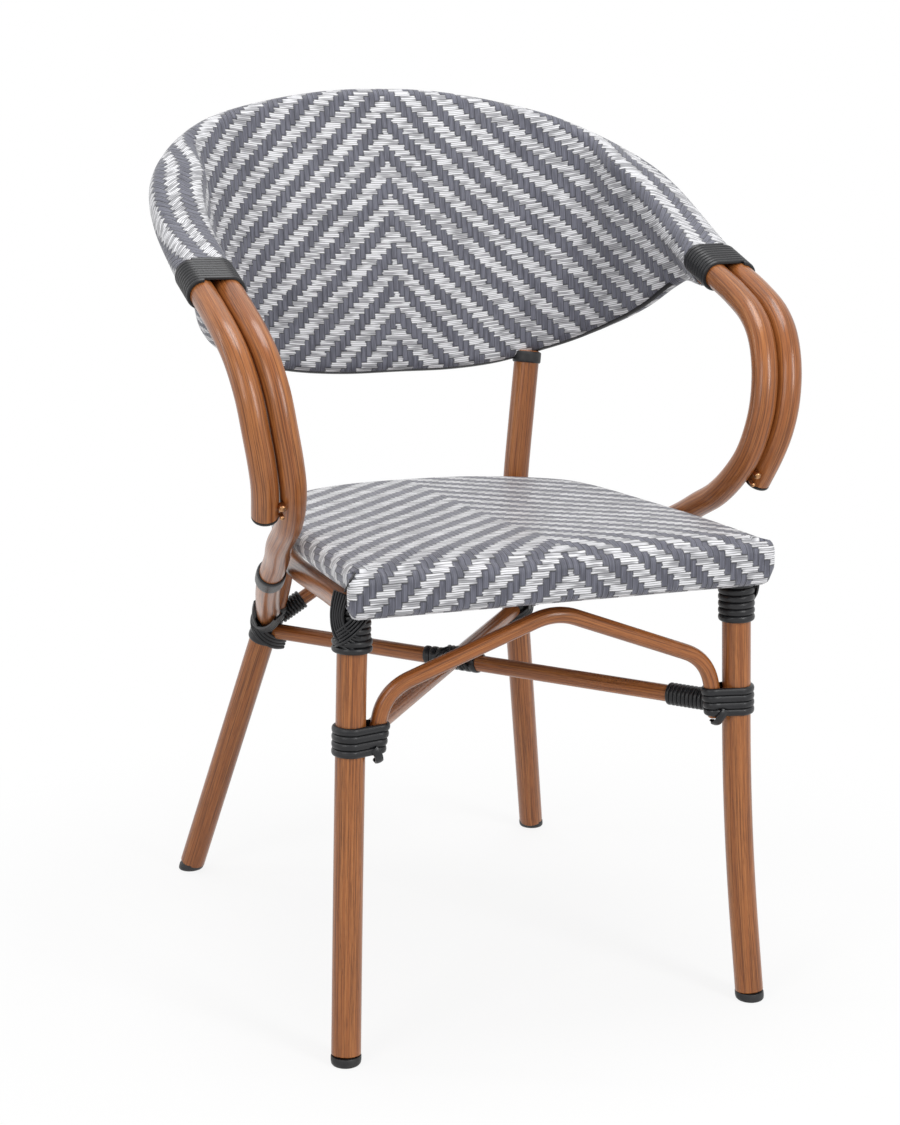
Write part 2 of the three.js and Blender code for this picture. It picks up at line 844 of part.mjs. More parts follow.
// The arm tubes start in the middle of the band, clear of the rims; the strap lies where the inner one passes the seat
const armButtShare = contactGap / outerArmCurve.getLength();
const strapMiddle = shareWhere(innerArmCurve, 'y', strapY, 1 / 2, 1);
const strapReach = strapLength / 2 / innerArmCurve.getLength();
const strapStops = [strapMiddle - strapReach, strapMiddle + strapReach];
const innerArmStops = [armButtShare, ...strapStops, 1];

function studIn(fromEnd, diameter) {
  const share = 1 - fromEnd / outerArmCurve.getLength();
  const place = outerArmCurve.getPointAt(share).addScaledVector(pairShift, 1 / 2);
  const outwardWay = pairShift.clone().cross(outerArmCurve.getTangentAt(share)).normalize();
  const radius = diameter / 2;
  const top = armRadius + studProud;
  const profile = [
    new THREE.Vector2(0, studRoot),
    new THREE.Vector2(radius, studRoot),
    new THREE.Vector2(radius, top - studDome),
    new THREE.Vector2(radius - studDome, top),
    new THREE.Vector2(0, top),
  ];
  const stud = new THREE.LatheGeometry(profile, slimSides);
  stud.applyQuaternion(new THREE.Quaternion().setFromUnitVectors(at(0, 1, 0), outwardWay));
  stud.translate(place.x, place.y, place.z);
  const tools = [outerArmCurve, innerArmCurve];
  return cut(stud, tools.map((curve) => tube(stationed(curve, innerArmStops), armRadius + contactGap, tubeSides)));
}

function arms() {
  addPair('arm_tube_outer', tube(stationed(outerArmCurve, [armButtShare, 1]), armRadius, tubeSides), caneTube);
  const inner = tube(stationed(innerArmCurve, innerArmStops), armRadius, tubeSides);
  addPair('arm_tube_inner', cut(inner, [rearLegCut, rearCut]), caneTube);
  const profile = [new THREE.Vector2(0, 0), new THREE.Vector2(armRadius, 0)];
  const domeSteps = 4;
  for (let i = 0; i <= domeSteps; i += 1) {
    const angle = (Math.PI / 2) * (i / domeSteps);
    const radius = i === domeSteps ? 0 : armRadius * Math.cos(angle);
    profile.push(new THREE.Vector2(radius, plugLength + plugDome * Math.sin(angle)));
  }
  const way = outerArmCurve.getTangentAt(1);
  const plug = new THREE.LatheGeometry(profile, tubeSides);
  plug.applyQuaternion(new THREE.Quaternion().setFromUnitVectors(at(0, 1, 0), way));
  const seat = outerArmCurve.getPointAt(1).addScaledVector(way, contactGap);
  addPair('arm_end_plug', plug.translate(seat.x, seat.y, seat.z), blackPlastic);
  addPair('arm_stud', studIn(studFromEnd, studDiameter), caneTube);
  addPair('arm_screw', studIn(screwFromEnd, screwDiameter), blackPlastic);

  addPair('arm_strap', sleeve(stationed(innerArmCurve, strapStops), armRadius, strapWall, tubeSides), blackStrip);
}

const bandCores = [
  { start: bandFront, end: bandRear.clone(), radius: armRadius },
  { start: bandFront.clone().add(pairShift), end: bandRear.clone().add(pairShift), radius: armRadius },
];
const bandSetback = bandRear.clone().sub(bandFront).setLength(contactGap);
bandCores.forEach((core) => core.end.sub(bandSetback));

// A sheet is a net of points, each with its place on the inner and on the outer skin, closed along its hems
function thicken(net, faces) {
  const count = net.length;
  const points = [...net.map((p) => p.outer), ...net.map((p) => p.inner)];
  const edges = new Set(faces.flatMap(([a, b, c]) => [`${a},${b}`, `${b},${c}`, `${c},${a}`]));
  const all = [];
  for (const [a, b, c] of faces) {
    all.push(a, b, c, c + count, b + count, a + count);
    for (const [from, to] of [[a, b], [b, c], [c, a]]) {
      if (!edges.has(`${to},${from}`)) {
        all.push(to, from, from + count, to, from + count, to + count);
      }
    }
  }
  return fromPoints(points, all);
}

function quad(a, b, c, d) {
  return [[a, b, c], [a, c, d]];
}

function clothPoint(centre, radius, normal) {
  const inner = clothRadius(radius);
  return {
    inner: centre.clone().addScaledVector(normal, inner),
    outer: centre.clone().addScaledVector(normal, inner + clothThickness),
  };
}

// Back: stations along both rims, counted from the middle to the hems just behind the bands
const rimReachShare = 1 / 2 - shareWhere(rimCurve, 'y', bandRearY + hemSetback, 0, 1 / 2);

function rimStation(share) {
  const upperShare = 1 / 2 + rimReachShare * share;
  const lowerShare = 1 / 2 + share / 2;
  const way = rimCurve.getTangentAt(upperShare);
  const lowerWay = lowerCurve.getTangentAt(lowerShare);
  const upper = rimCurve.getPointAt(upperShare);
  const lower = lowerCurve.getPointAt(lowerShare);
  const inside = at(way.y, -way.x, 0).normalize();
  const fade = THREE.MathUtils.smoothstep(Math.abs(share), innerRimShare - innerFadeShare, innerRimShare);
  const inner = upper.clone().addScaledVector(inside, pairSpacing * fade);
  return { way, lowerWay, upper, lower, inner, inside };
}

// A direction square to a tube: at angle 0 it points to the sitter, at a quarter turn up the back
function around(way, rise, angle) {
  const level = rise.clone().addScaledVector(way, -rise.dot(way)).normalize();
  const front = level.clone().cross(way).negate();
  return front.multiplyScalar(Math.cos(angle)).addScaledVector(level, Math.sin(angle));
}

// One section of the back cloth: round the lower rim, up the panel, over the inner and the outer upper tube
function backSection(share) {
  const station = rimStation(share);
  const { way, lowerWay, upper, lower, inner, inside } = station;
  const rise = upper.clone().sub(lower).normalize();
  const panel = inner.clone().sub(lower);
  const high = panel.dot(around(way, rise, Math.PI / 2));
  const ahead = panel.dot(around(way, rise, 0));
  const tangent = Math.atan2(-ahead, high) + Math.asin((lowerRimRadius - armRadius) / Math.hypot(high, ahead));
  const section = [];
  for (let i = 0; i <= lowerRollSteps; i += 1) {
    const angle = mix(-lowerRollTurn, tangent, i / lowerRollSteps);
    section.push(clothPoint(lower, lowerRimRadius, around(lowerWay, rise, angle)));
  }
  const start = section[section.length - 1];
  const first = clothPoint(inner, armRadius, around(way, rise, tangent));
  const depth = panel.length() / (rimRise + bandRearZ - lowerRimZ);
  for (const part of panelShares) {
    const bulge = backBow * depth * depth * 4 * part * (1 - part);
    const shift = around(way, rise, tangent).multiplyScalar(bulge);
    section.push({
      inner: start.inner.clone().lerp(first.inner, part).add(shift),
      outer: start.outer.clone().lerp(first.outer, part).add(shift),
    });
  }
  const crown = Math.PI / 2 + Math.atan2(
    inside.dot(around(way, rise, Math.PI / 2)),
    inside.dot(around(way, rise, 0)),
  );
  for (let i = 0; i <= frontRollSteps; i += 1) {
    const angle = mix(tangent, crown - crownTurn, i / frontRollSteps);
    section.push(clothPoint(inner, armRadius, around(way, rise, angle)));
  }
  for (let i = 0; i <= rearRollSteps; i += 1) {
    const angle = mix(crown + crownTurn, upperRollTurn, i / rearRollSteps);
    section.push(clothPoint(upper, armRadius, around(way, rise, angle)));
  }
  return section;
}

function backCloth() {
  const sections = backShares.map(backSection);
  const count = sections[0].length;
  const faces = [];
  for (let i = 0; i < sections.length - 1; i += 1) {
    for (let j = 0; j < count - 1; j += 1) {
      const a = i * count + j;
      faces.push(...quad(a, a + count, a + count + 1, a + 1));
    }
  }
  return thicken(sections.flat(), faces);
}

function back() {
  const gapShare = contactGap / rimCurve.getLength();
  const bendShares = backShares.map((share) => 1 / 2 + rimReachShare * share);
  add('back_rim_upper', tube(along(rimCurve, [gapShare, ...bendShares, 1 - gapShare]), armRadius, slimSides), caneTube);
  add('back_rim_lower', tube(along(lowerCurve, lowerShares), lowerRimRadius, slimSides), caneTube);
  const stub = backStationShares.filter((share) => share >= innerRimShare).map(rimStation);
  const buttWay = bandFront.clone().sub(bandRear).normalize();
  const butt = bandMiddle.clone().add(pairShift).addScaledVector(buttWay, -contactGap);
  const stubPath = new StationPath(
    [...stub.map((station) => station.inner), butt],
    [...stub.map((station) => station.way), buttWay],
  );
  addPair('back_rim_inner', tube(stubPath, armRadius, slimSides), caneTube);
  add('back_cloth', backCloth(), slingCloth);

  const collarEnd = shareWhere(rearLegCurve, 'z', rearLegTopZ);
  const collarStart = collarEnd - collarLength / rearLegCurve.getLength();
  const collarPath = stationed(rearLegCurve, [collarStart, collarEnd]);
  const collar = sleeve(collarPath, legRadius, collarWall, tubeSides);
  addPair('leg_top_collar', cut(collar, [lowerRimCut]), blackPlastic);
}

// Seat cloth: columns of points over its edge, round the tube at the sides and rear and round the front rail
function sideColumn(share) {
  const centre = seatCurve.getPointAt(share);
  const way = seatCurve.getTangentAt(share);
  const outside = at(way.y, -way.x, 0).normalize().negate();
  const column = [];
  for (let i = 0; i <= sideWrapSteps; i += 1) {
    const angle = Math.PI / 2 - (sideWrapTurn * i) / sideWrapSteps;
    const normal = outside.clone().multiplyScalar(Math.cos(angle)).addScaledVector(up, Math.sin(angle));
    column.push(clothPoint(centre, seatTubeRadius, normal));
  }
  return column;
}

const frontRailEndRadius = frontRailThickness / 2;
const frontRailStraight = (frontRailHeight - frontRailThickness) / 2;

function frontColumn(x) {
  const column = [];
  const high = at(x, frontRailY, frontRailZ + frontRailStraight);
  const low = at(x, frontRailY, frontRailZ - frontRailStraight);
  const step = Math.PI / slimSides * 2;
  for (let i = 0; i <= frontWrapSteps; i += 1) {
    const angle = step * i;
    const normal = at(0, -Math.sin(angle), Math.cos(angle));
    if (i <= slimSides / 4) {
      column.push(clothPoint(high, frontRailEndRadius, normal));
    }
    if (i >= slimSides / 4) {
      column.push(clothPoint(low, frontRailEndRadius, normal));
    }
  }
  return column;
}

function seatCloth() {
  const net = [];
  const faces = [];

  function addPoint(point) {
    net.push(point);
    return net.length - 1;
  }

  // The two apron corners lie outside the rings of the top, on a small flap each
  const halfWidth = frontRailHalfLength + apronOverhang;
  const sideEdge = seatShares.map((share) => sideColumn(share).map(addPoint));
  const frontEdge = apronShares.map((share) => frontColumn(halfWidth * share).map(addPoint));
  const rim = [...sideEdge, ...frontEdge.slice(1, -1)].map((column) => column[0]);
  const middle = at(0, mix(frontRailY, seatRearY, 1 / 2), seatTubeZ + seatTubeRadius + contactGap - seatSag);
  const centre = addPoint({ inner: middle, outer: middle.clone().addScaledVector(up, clothThickness) });
  const rings = [rim.map(() => centre)];
  for (let r = 1; r < seatRings; r += 1) {
    const share = r / seatRings;
    rings.push(rim.map((edgeIndex) => {
      const edge = net[edgeIndex].inner;
      const inner = at(
        mix(middle.x, edge.x, share),
        mix(middle.y, edge.y, share),
        mix(middle.z, edge.z, share * share),
      );
      return addPoint({ inner, outer: inner.clone().addScaledVector(up, clothThickness) });
    }));
  }
  rings.push(rim);
  for (let i = 0; i < rim.length; i += 1) {
    const next = (i + 1) % rim.length;
    faces.push([centre, rings[1][i], rings[1][next]]);
    for (let r = 1; r < seatRings; r += 1) {
      faces.push(...quad(rings[r][i], rings[r + 1][i], rings[r + 1][next], rings[r][next]));
    }
  }
  const lastSide = sideEdge[sideEdge.length - 1][0];
  faces.push([lastSide, frontEdge[0][0], frontEdge[1][0]]);
  faces.push([frontEdge[frontEdge.length - 2][0], frontEdge[frontEdge.length - 1][0], sideEdge[0][0]]);
  for (const edge of [sideEdge, frontEdge]) {
    for (let i = 0; i < edge.length - 1; i += 1) {
      for (let j = 0; j < edge[i].length - 1; j += 1) {
        faces.push(...quad(edge[i][j], edge[i][j + 1], edge[i + 1][j + 1], edge[i + 1][j]));
      }
    }
  }
  return thicken(net, faces);
}

function seat() {
  add('seat_tube', tube(along(seatCurve, seatShares), seatTubeRadius, slimSides), caneTube);
  const shape = new THREE.Shape();
  shape.absarc(0, frontRailStraight, frontRailEndRadius, 0, Math.PI);
  shape.absarc(0, -frontRailStraight, frontRailEndRadius, Math.PI, 2 * Math.PI);
  const rail = new THREE.ExtrudeGeometry(shape, {
    depth: 2 * frontRailHalfLength,
    bevelEnabled: false,
    curveSegments: slimSides / 2,
  });
  rail.translate(0, 0, -frontRailHalfLength);
  rail.applyMatrix4(new THREE.Matrix4().makeBasis(at(0, 1, 0), up, at(1, 0, 0)));
  add('seat_front_rail', rail.translate(0, frontRailY, frontRailZ), caneTube);
  add('seat_cloth', seatCloth(), slingCloth);
}

function bindings() {
  const band = winding('arm_band', bandCores, bandTurns, stripThickness, outwards);
  addPair('arm_band', band, blackStrip);
  const frontTop = winding('front_leg_top_binding', frontTopCores, frontTopTurns, stripThickness, outwards);
  addPair('front_leg_top_binding', frontTop, blackStrip);
  const belt = winding('front_leg_low_binding', beltCores, beltTurns, stripThickness, outwards);
  addPair('front_leg_low_binding', belt, blackStrip);
  const rear = winding('rear_leg_binding', rearCores, rearBindingTurns, stripThickness, rearwards);
  addPair('rear_leg_binding', rear, blackStrip);
}

legs();
addPair('front_foot_glide', glide(frontLegCurve), blackPlastic);
addPair('rear_foot_glide', glide(rearLegCurve), blackPlastic);
seat();
rails();
stretchers();
bows();
arms();
back();
bindings();

// The origin lies under the middle of the chair's box
const chairBox = new THREE.Box3().setFromObject(chair);
chair.position.y = -(chairBox.min.y + chairBox.max.y) / 2;

export default chair;
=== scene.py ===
import itertools
import math
import bpy
import numpy as np
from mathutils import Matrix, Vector


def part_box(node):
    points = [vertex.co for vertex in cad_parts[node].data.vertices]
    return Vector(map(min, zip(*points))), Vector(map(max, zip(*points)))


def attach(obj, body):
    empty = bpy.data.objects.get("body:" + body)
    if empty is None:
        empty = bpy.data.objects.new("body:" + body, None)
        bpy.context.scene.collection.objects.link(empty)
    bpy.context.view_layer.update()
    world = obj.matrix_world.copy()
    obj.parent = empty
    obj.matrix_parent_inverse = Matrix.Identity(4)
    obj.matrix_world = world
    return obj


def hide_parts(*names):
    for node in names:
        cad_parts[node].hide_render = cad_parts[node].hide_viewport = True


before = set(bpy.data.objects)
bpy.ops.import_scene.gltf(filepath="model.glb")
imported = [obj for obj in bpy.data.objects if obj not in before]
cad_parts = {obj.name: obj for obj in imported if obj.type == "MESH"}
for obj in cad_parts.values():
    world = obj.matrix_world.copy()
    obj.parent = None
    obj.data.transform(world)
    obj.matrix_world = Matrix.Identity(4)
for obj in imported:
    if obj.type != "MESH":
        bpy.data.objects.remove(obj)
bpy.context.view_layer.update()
print("frame loaded:", len(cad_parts), "nodes")

# Lengths in this file are millimetres, in the chair's own axes, until makePiece turns them into metres
mm = 0.001
frontRailY = -289
railLow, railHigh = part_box("seat_front_rail")
shiftY = (railLow[1] + railHigh[1]) / 2 / mm - frontRailY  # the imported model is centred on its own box
bothSides = ("right", "left")
scene = bpy.context.scene

# Camera at the photograph's viewing angle; clipEnd is in metres
camera = {"place": (-775.8, -2038.7, 856.0), "azimuth": -20.85, "elevation": 12.03, "roll": 0.04,
          "lens": 88.295, "filmWidth": 36, "clipEnd": 50}


def makeCamera():
    data = bpy.data.cameras.new("camera")
    data.sensor_fit = "HORIZONTAL"
    data.sensor_width = camera["filmWidth"]
    data.lens = camera["lens"]
    data.clip_end = camera["clipEnd"]
    obj = bpy.data.objects.new("camera", data)
    scene.collection.objects.link(obj)
    obj.location = [camera["place"][0] * mm, (camera["place"][1] + shiftY) * mm, camera["place"][2] * mm]
    obj.rotation_mode = "XYZ"
    obj.rotation_euler = (math.radians(90 - camera["elevation"]), math.radians(camera["roll"]),
                          math.radians(camera["azimuth"]))
    scene.camera = obj


makeCamera()
print("camera placed")


# Small vector helpers
def unit(v):
    v = np.asarray(v, float)
    return v / np.maximum(np.linalg.norm(v, axis=-1, keepdims=True), 1e-9)


def mix(a, b, share):
    return a + (b - a) * share


def mirrored(points):
    return [np.array([-p[0], p[1], p[2]], float) for p in points]


def smoothstep(value, low, high):
    t = np.clip((value - low) / (high - low), 0, 1)
    return t * t * (3 - 2 * t)


# A route is a finely sampled line that is read by the length along it
class Route:
    def __init__(self, points):
        self.points = np.array(points, float)
        steps = np.linalg.norm(np.diff(self.points, axis=0), axis=1)
        self.lengths = np.concatenate([[0], np.cumsum(steps)])
        self.length = self.lengths[-1]

    def at(self, place):
        return np.stack([np.interp(place, self.lengths, self.points[:, k]) for k in range(3)], axis=-1)

    def way(self, place, step=1.0):
        low = np.clip(np.asarray(place, float) - step, 0, self.length)
        high = np.clip(np.asarray(place, float) + step, 0, self.length)
        return unit(self.at(high) - self.at(low))

    # The place where one coordinate reaches a value, between two shares of the length
    def where(self, axis, value, low=0.0, high=1.0, halvings=40):
        low, high = low * self.length, high * self.length
        for _ in range(halvings):
            middle = (low + high) / 2
            if self.at(middle)[axis] < value:
                low = middle
            else:
                high = middle
        return low

    def pointWhere(self, axis, value, low=0.0, high=1.0):
        return self.at(self.where(axis, value, low, high))


# Smooth curve through points, spaced by the root of their distances
def smoothRoute(points, steps=40):
    p = [np.array(q, float) for q in points]
    p = [2 * p[0] - p[1]] + p + [2 * p[-1] - p[-2]]
    s = np.linspace(0, 1, steps, endpoint=False)[:, None]
    out = []
    for i in range(1, len(p) - 2):
        a, b, c, d = p[i - 1:i + 3]
        t0, t1, t2 = (math.sqrt(np.linalg.norm(y - x)) for x, y in ((a, b), (b, c), (c, d)))
        m1 = ((b - a) / t0 - (c - a) / (t0 + t1) + (c - b) / t1) * t1
        m2 = ((c - b) / t1 - (d - b) / (t1 + t2) + (d - c) / t2) * t1
        out.append(b + m1 * s + (3 * (c - b) - 2 * m1 - m2) * s ** 2 + (2 * (b - c) + m1 + m2) * s ** 3)
    return Route(np.concatenate(out + [p[-2][None]]))


# Straight runs with rounded corners
def bentRoute(points, reaches, steps=24):
    p = [np.array(q, float) for q in points]
    s = np.linspace(0, 1, steps)[:, None]
    out = [p[0][None]]
    for i, reach in enumerate(reaches, 1):
        before = p[i] + unit(p[i - 1] - p[i]) * reach
        after = p[i] + unit(p[i + 1] - p[i]) * reach
        out.append(before * (1 - s) ** 2 + 2 * p[i] * s * (1 - s) + after * s ** 2)
    return Route(np.concatenate(out + [p[-1][None]]))


# Frame of the chair: tube diameters, and the points that the tubes run through
tubeSizes = {"leg": 27, "arm": 24.8, "seat": 24, "rail": 22, "stretcher": 16.5, "bow": 15, "lowerRim": 16,
             "gap": 0.3, "sides": 36, "step": 4, "lip": 0.8, "grainAlong": 731.0, "grainAcross": 97.0}
seatFrame = {
    "tubeZ": 441.5, "tilt": 3.5, "sideX": 187, "rearY": 131, "railY": frontRailY, "railZ": 433.5,
    "railThickness": 19, "railHeight": 38, "railOverhang": 2, "endGap": 1.0,
    "shares": [(1.002, 0), (1, 0.129), (0.984, 0.298), (0.952, 0.467), (0.92, 0.637), (0.882, 0.758),
               (0.834, 0.83), (0.755, 0.876), (0.647, 0.917), (0.532, 0.952), (0.321, 0.988), (0, 1)],
}
backFrame = {
    "armX": 273, "bandFront": (-95, 677), "bandRear": (-45, 694), "rimDepth": 257, "rimRise": 151.5,
    "rimShares": [(0, 1, 1), (0.183, 0.998, 0.99), (0.366, 0.988, 0.95), (0.549, 0.961, 0.884),
                  (0.678, 0.907, 0.818), (0.799, 0.809, 0.713), (0.897, 0.673, 0.587), (0.956, 0.545, 0.473),
                  (0.985, 0.424, 0.36), (0.998, 0.294, 0.238), (1, 0.225, 0.178), (1, 0.125, 0.096)],
    "lowerX": 260, "lowerY": 158, "lowerZ": 577, "lowerEndDrop": 20,
    "lowerShares": [(0, 0.985, 0), (0.231, 0.992, 0), (0.423, 1, 0.042), (0.565, 0.995, 0.121),
                    (0.688, 0.883, 0.244), (0.781, 0.766, 0.375), (0.869, 0.55, 0.583), (0.908, 0.413, 0.725),
                    (0.954, 0.236, 0.95), (0.979, 0.144, 1.035), (1, 0, 1)],
}
legFrame = {
    "frontFoot": (205, -275), "frontKnee": (195, -256.5, 176), "frontReach": 110,
    "rearFoot": (208.5, 275), "rearKnee": (123.5, 137.5, 396), "rearReach": 80, "rearTopX": 150,
    "below": 40, "glideHeight": 8.5, "topGap": 0.5, "topInto": 3,
}
braceFrame = {"z": 293, "tilt": 2, "bowFootZ": 281.5, "bowKnee": (160, 338), "bowPeak": (-268.5, 400),
              "bowReaches": (26, 22), "rearBowFootZ": 302, "rearBowPeak": (150, 398)}
railFrame = {
    "sideFall": 46.2, "crossFall": 25.5, "rearSetback": 8.5, "frontShare": 0.576, "rearShare": 0.92,
    "sideShares": [(0.963, 0.194, 0.657), (0.914, 0.423, 0.798), (0.85, 0.676, 0.96), (0.78, 0.854, 1)],
}
armFrame = {
    "tuck": 27, "reach": 119, "drop": 187, "underRun": 274, "pairGap": 0.8, "jointZ": 308, "innerCount": 7,
    "shares": [(0, 0.294, 0.067), (0.04, 0.597, 0.155), (0.15, 0.798, 0.257), (0.31, 0.941, 0.412),
               (0.48, 0.992, 0.588), (0.667, 0.975, 0.733), (0.83, 0.912, 0.85), (1, 0.773, 1)],
    "underShares": [(0, 0.102, -0.12), (0.13, 0.195, 0.31), (0.25, 0.301, 0.62), (0.36, 0.408, 0.93),
                    (0.73, 0.6, 1.46), (0.97, 0.781, 2.02), (1.39, 1, 2.64)],
}
cloth = {"thickness": 1.2, "gap": 0.4, "hemSetback": -1.5, "bow": 4, "innerShare": 0.64, "fadeShare": 0.16}

# How deep a tube's end sits in the tube that it meets, in shares of that tube's radius
intoShares = {"rail": 0.6, "brace": 0.8, "crossing": 0.9}
legR, armR, seatR, railR, braceR, bowR, lowerR = (
    tubeSizes[k] / 2 for k in ("leg", "arm", "seat", "rail", "stretcher", "bow", "lowerRim"))
pairSpacing = tubeSizes["arm"] + armFrame["pairGap"]
pairShift = np.array([-pairSpacing, 0, 0])

# Seat tube
railHalf = seatFrame["sideX"] + seatR + seatFrame["railOverhang"]
seatFrontY = seatFrame["railY"] + seatFrame["railThickness"] / 2 + tubeSizes["gap"]
seatHalf = [np.array([seatFrame["sideX"] * x, mix(seatFrontY, seatFrame["rearY"], y),
                      seatFrame["tubeZ"] + seatFrame["tilt"] * (1 - y)]) for x, y in seatFrame["shares"]]
seatRoute = smoothRoute(mirrored(seatHalf) + seatHalf[:-1][::-1])

# Rims
armX = backFrame["armX"]
bandFront = np.array([armX, *backFrame["bandFront"]], float)
bandRear = np.array([armX, *backFrame["bandRear"]], float)
bandMiddle = (bandFront + bandRear) / 2
rimHalf = [np.array([armX * x, bandRear[1] + backFrame["rimDepth"] * y,
                     bandRear[2] + backFrame["rimRise"] * z]) for x, y, z in backFrame["rimShares"]]
rightRim = rimHalf + [bandRear, bandMiddle]
rimRoute = smoothRoute(mirrored(rightRim)[::-1] + rightRim[1:])
bandSlope = (bandRear[2] - bandFront[2]) / (bandRear[1] - bandFront[1])
lowerEndY = bandRear[1] + backFrame["lowerEndDrop"] * bandSlope + tubeSizes["gap"]
lowerRise = bandRear[2] - backFrame["lowerEndDrop"] - backFrame["lowerZ"]
lowerHalf = [np.array([backFrame["lowerX"] * x, mix(lowerEndY, backFrame["lowerY"], y),
                       backFrame["lowerZ"] + lowerRise * z]) for x, y, z in backFrame["lowerShares"]]
lowerRoute = smoothRoute(mirrored(lowerHalf)[::-1] + lowerHalf[1:])


# Legs
def standing(foot, knee, top, reach):
    foot, knee, top = (np.array(p, float) for p in (foot, knee, top))
    below = foot + unit(foot - knee) * legFrame["below"]
    return bentRoute([below, knee, top], [reach])


frontHead = seatRoute.at(seatRoute.length - seatRoute.where(1, legFrame["frontKnee"][1], 0, 0.5))
frontLeg = standing((*legFrame["frontFoot"], 0), legFrame["frontKnee"], frontHead, legFrame["frontReach"])
rearHead = lowerRoute.pointWhere(0, legFrame["rearTopX"], 0.5, 1)
rearLeg = standing((*legFrame["rearFoot"], 0), legFrame["rearKnee"], rearHead, legFrame["rearReach"])

# Bows and stretchers
bowShift = np.array([-(legR + bowR + 2 * tubeSizes["gap"]), 0, 0])
bowFoot = frontLeg.pointWhere(2, braceFrame["bowFootZ"]) + bowShift
bowKnee = np.array([braceFrame["bowKnee"][0], legFrame["frontKnee"][1], braceFrame["bowKnee"][1]], float)
kneeReach, peakReach = braceFrame["bowReaches"]
frontBow = bentRoute([bowFoot, bowKnee, (0, *braceFrame["bowPeak"]), *mirrored([bowKnee, bowFoot])],
                     [kneeReach, peakReach, kneeReach])
rearBowEnd = rearLeg.pointWhere(2, braceFrame["rearBowFootZ"])
rearBow = bentRoute([rearBowEnd, (0, *braceFrame["rearBowPeak"]), *mirrored([rearBowEnd])], [peakReach])
braceRear = rearLeg.pointWhere(2, braceFrame["z"] + braceFrame["tilt"])
braceFront = frontLeg.pointWhere(2, braceFrame["z"] - braceFrame["tilt"])
throughLine = Route([mirrored([braceRear])[0], braceFront])
crossing = throughLine.pointWhere(0, 0)
throughWay = unit(braceFront - crossing)

# Arms
armLoop = [np.array([armX - armFrame["tuck"] * x, bandFront[1] - armFrame["reach"] * y,
                     bandFront[2] - armFrame["drop"] * z]) for x, y, z in armFrame["shares"]]
outerArm = smoothRoute([bandMiddle, bandFront, *armLoop])
armEnd = armLoop[-1]
armUnder = [np.array([mix(armEnd[0] - pairSpacing, seatFrame["sideX"], x),
                      bandFront[1] - armFrame["reach"] + armFrame["underRun"] * y,
                      mix(armEnd[2], seatFrame["tubeZ"], z)]) for x, y, z in armFrame["underShares"]]
innerArm = smoothRoute([p + pairShift for p in (bandMiddle, bandFront, *armLoop[:armFrame["innerCount"]])]
                       + armUnder + [rearLeg.pointWhere(2, armFrame["jointZ"])])
print("routes drawn")


# Materials
def node(tree, kind, **values):
    made = tree.nodes.new(kind)
    for key, value in values.items():
        setattr(made, key, value)
    return made


def feed(tree, socket, value):
    if isinstance(value, bpy.types.NodeSocket):
        tree.links.new(value, socket)
    elif value is not None:
        socket.default_value = value


def calc(tree, operation, *values):
    made = node(tree, "ShaderNodeMath", operation=operation)
    for socket, value in zip(made.inputs, values):
        feed(tree, socket, value)
    return made.outputs[0]


def ramp(tree, value, low, high):
    made = node(tree, "ShaderNodeMapRange", interpolation_type="SMOOTHSTEP")
    feed(tree, made.inputs["Value"], value)
    made.inputs["From Min"].default_value = low
    made.inputs["From Max"].default_value = high
    return made.outputs["Result"]


def blendColor(tree, share, first, second, blend="MIX"):
    made = node(tree, "ShaderNodeMix", data_type="RGBA", blend_type=blend)
    for key, value in (("Factor_Float", share), ("A_Color", first), ("B_Color", second)):
        feed(tree, next(s for s in made.inputs if s.identifier == key), value)
    return next(s for s in made.outputs if s.identifier == "Result_Color")


def joined(tree, x, y, z):
    made = node(tree, "ShaderNodeCombineXYZ")
    for socket, value in zip(made.inputs, (x, y, z)):
        feed(tree, socket, value)
    return made.outputs[0]


def noise(tree, vector, scale, detail=2.0, roughness=0.5):
    made = node(tree, "ShaderNodeTexNoise")
    feed(tree, made.inputs["Vector"], vector)
    made.inputs["Scale"].default_value = scale
    made.inputs["Detail"].default_value = detail
    made.inputs["Roughness"].default_value = roughness
    return made.outputs["Fac"]


def shaderGroup(name, inputs, outputs):
    tree = bpy.data.node_groups.new(name, "ShaderNodeTree")
    kinds = {"vector": "NodeSocketVector", "value": "NodeSocketFloat", "color": "NodeSocketColor"}
    for label, kind in inputs:
        tree.interface.new_socket(name=label, in_out="INPUT", socket_type=kinds[kind])
    for label, kind in outputs:
        tree.interface.new_socket(name=label, in_out="OUTPUT", socket_type=kinds[kind])
    return tree, node(tree, "NodeGroupInput"), node(tree, "NodeGroupOutput")


# Streaks that run along a tube or a strip; Place is (along, across, across) in metres.
# Each noise is (scale, detail, roughness)
streakShape = {"fine": (2.6, 5.0, 0.62), "broad": (0.7, 2.0, 0.5), "pores": (6.0, 2.0, 0.55),
               "poreShortness": 2.5, "poreRamp": (0.53, 0.64)}


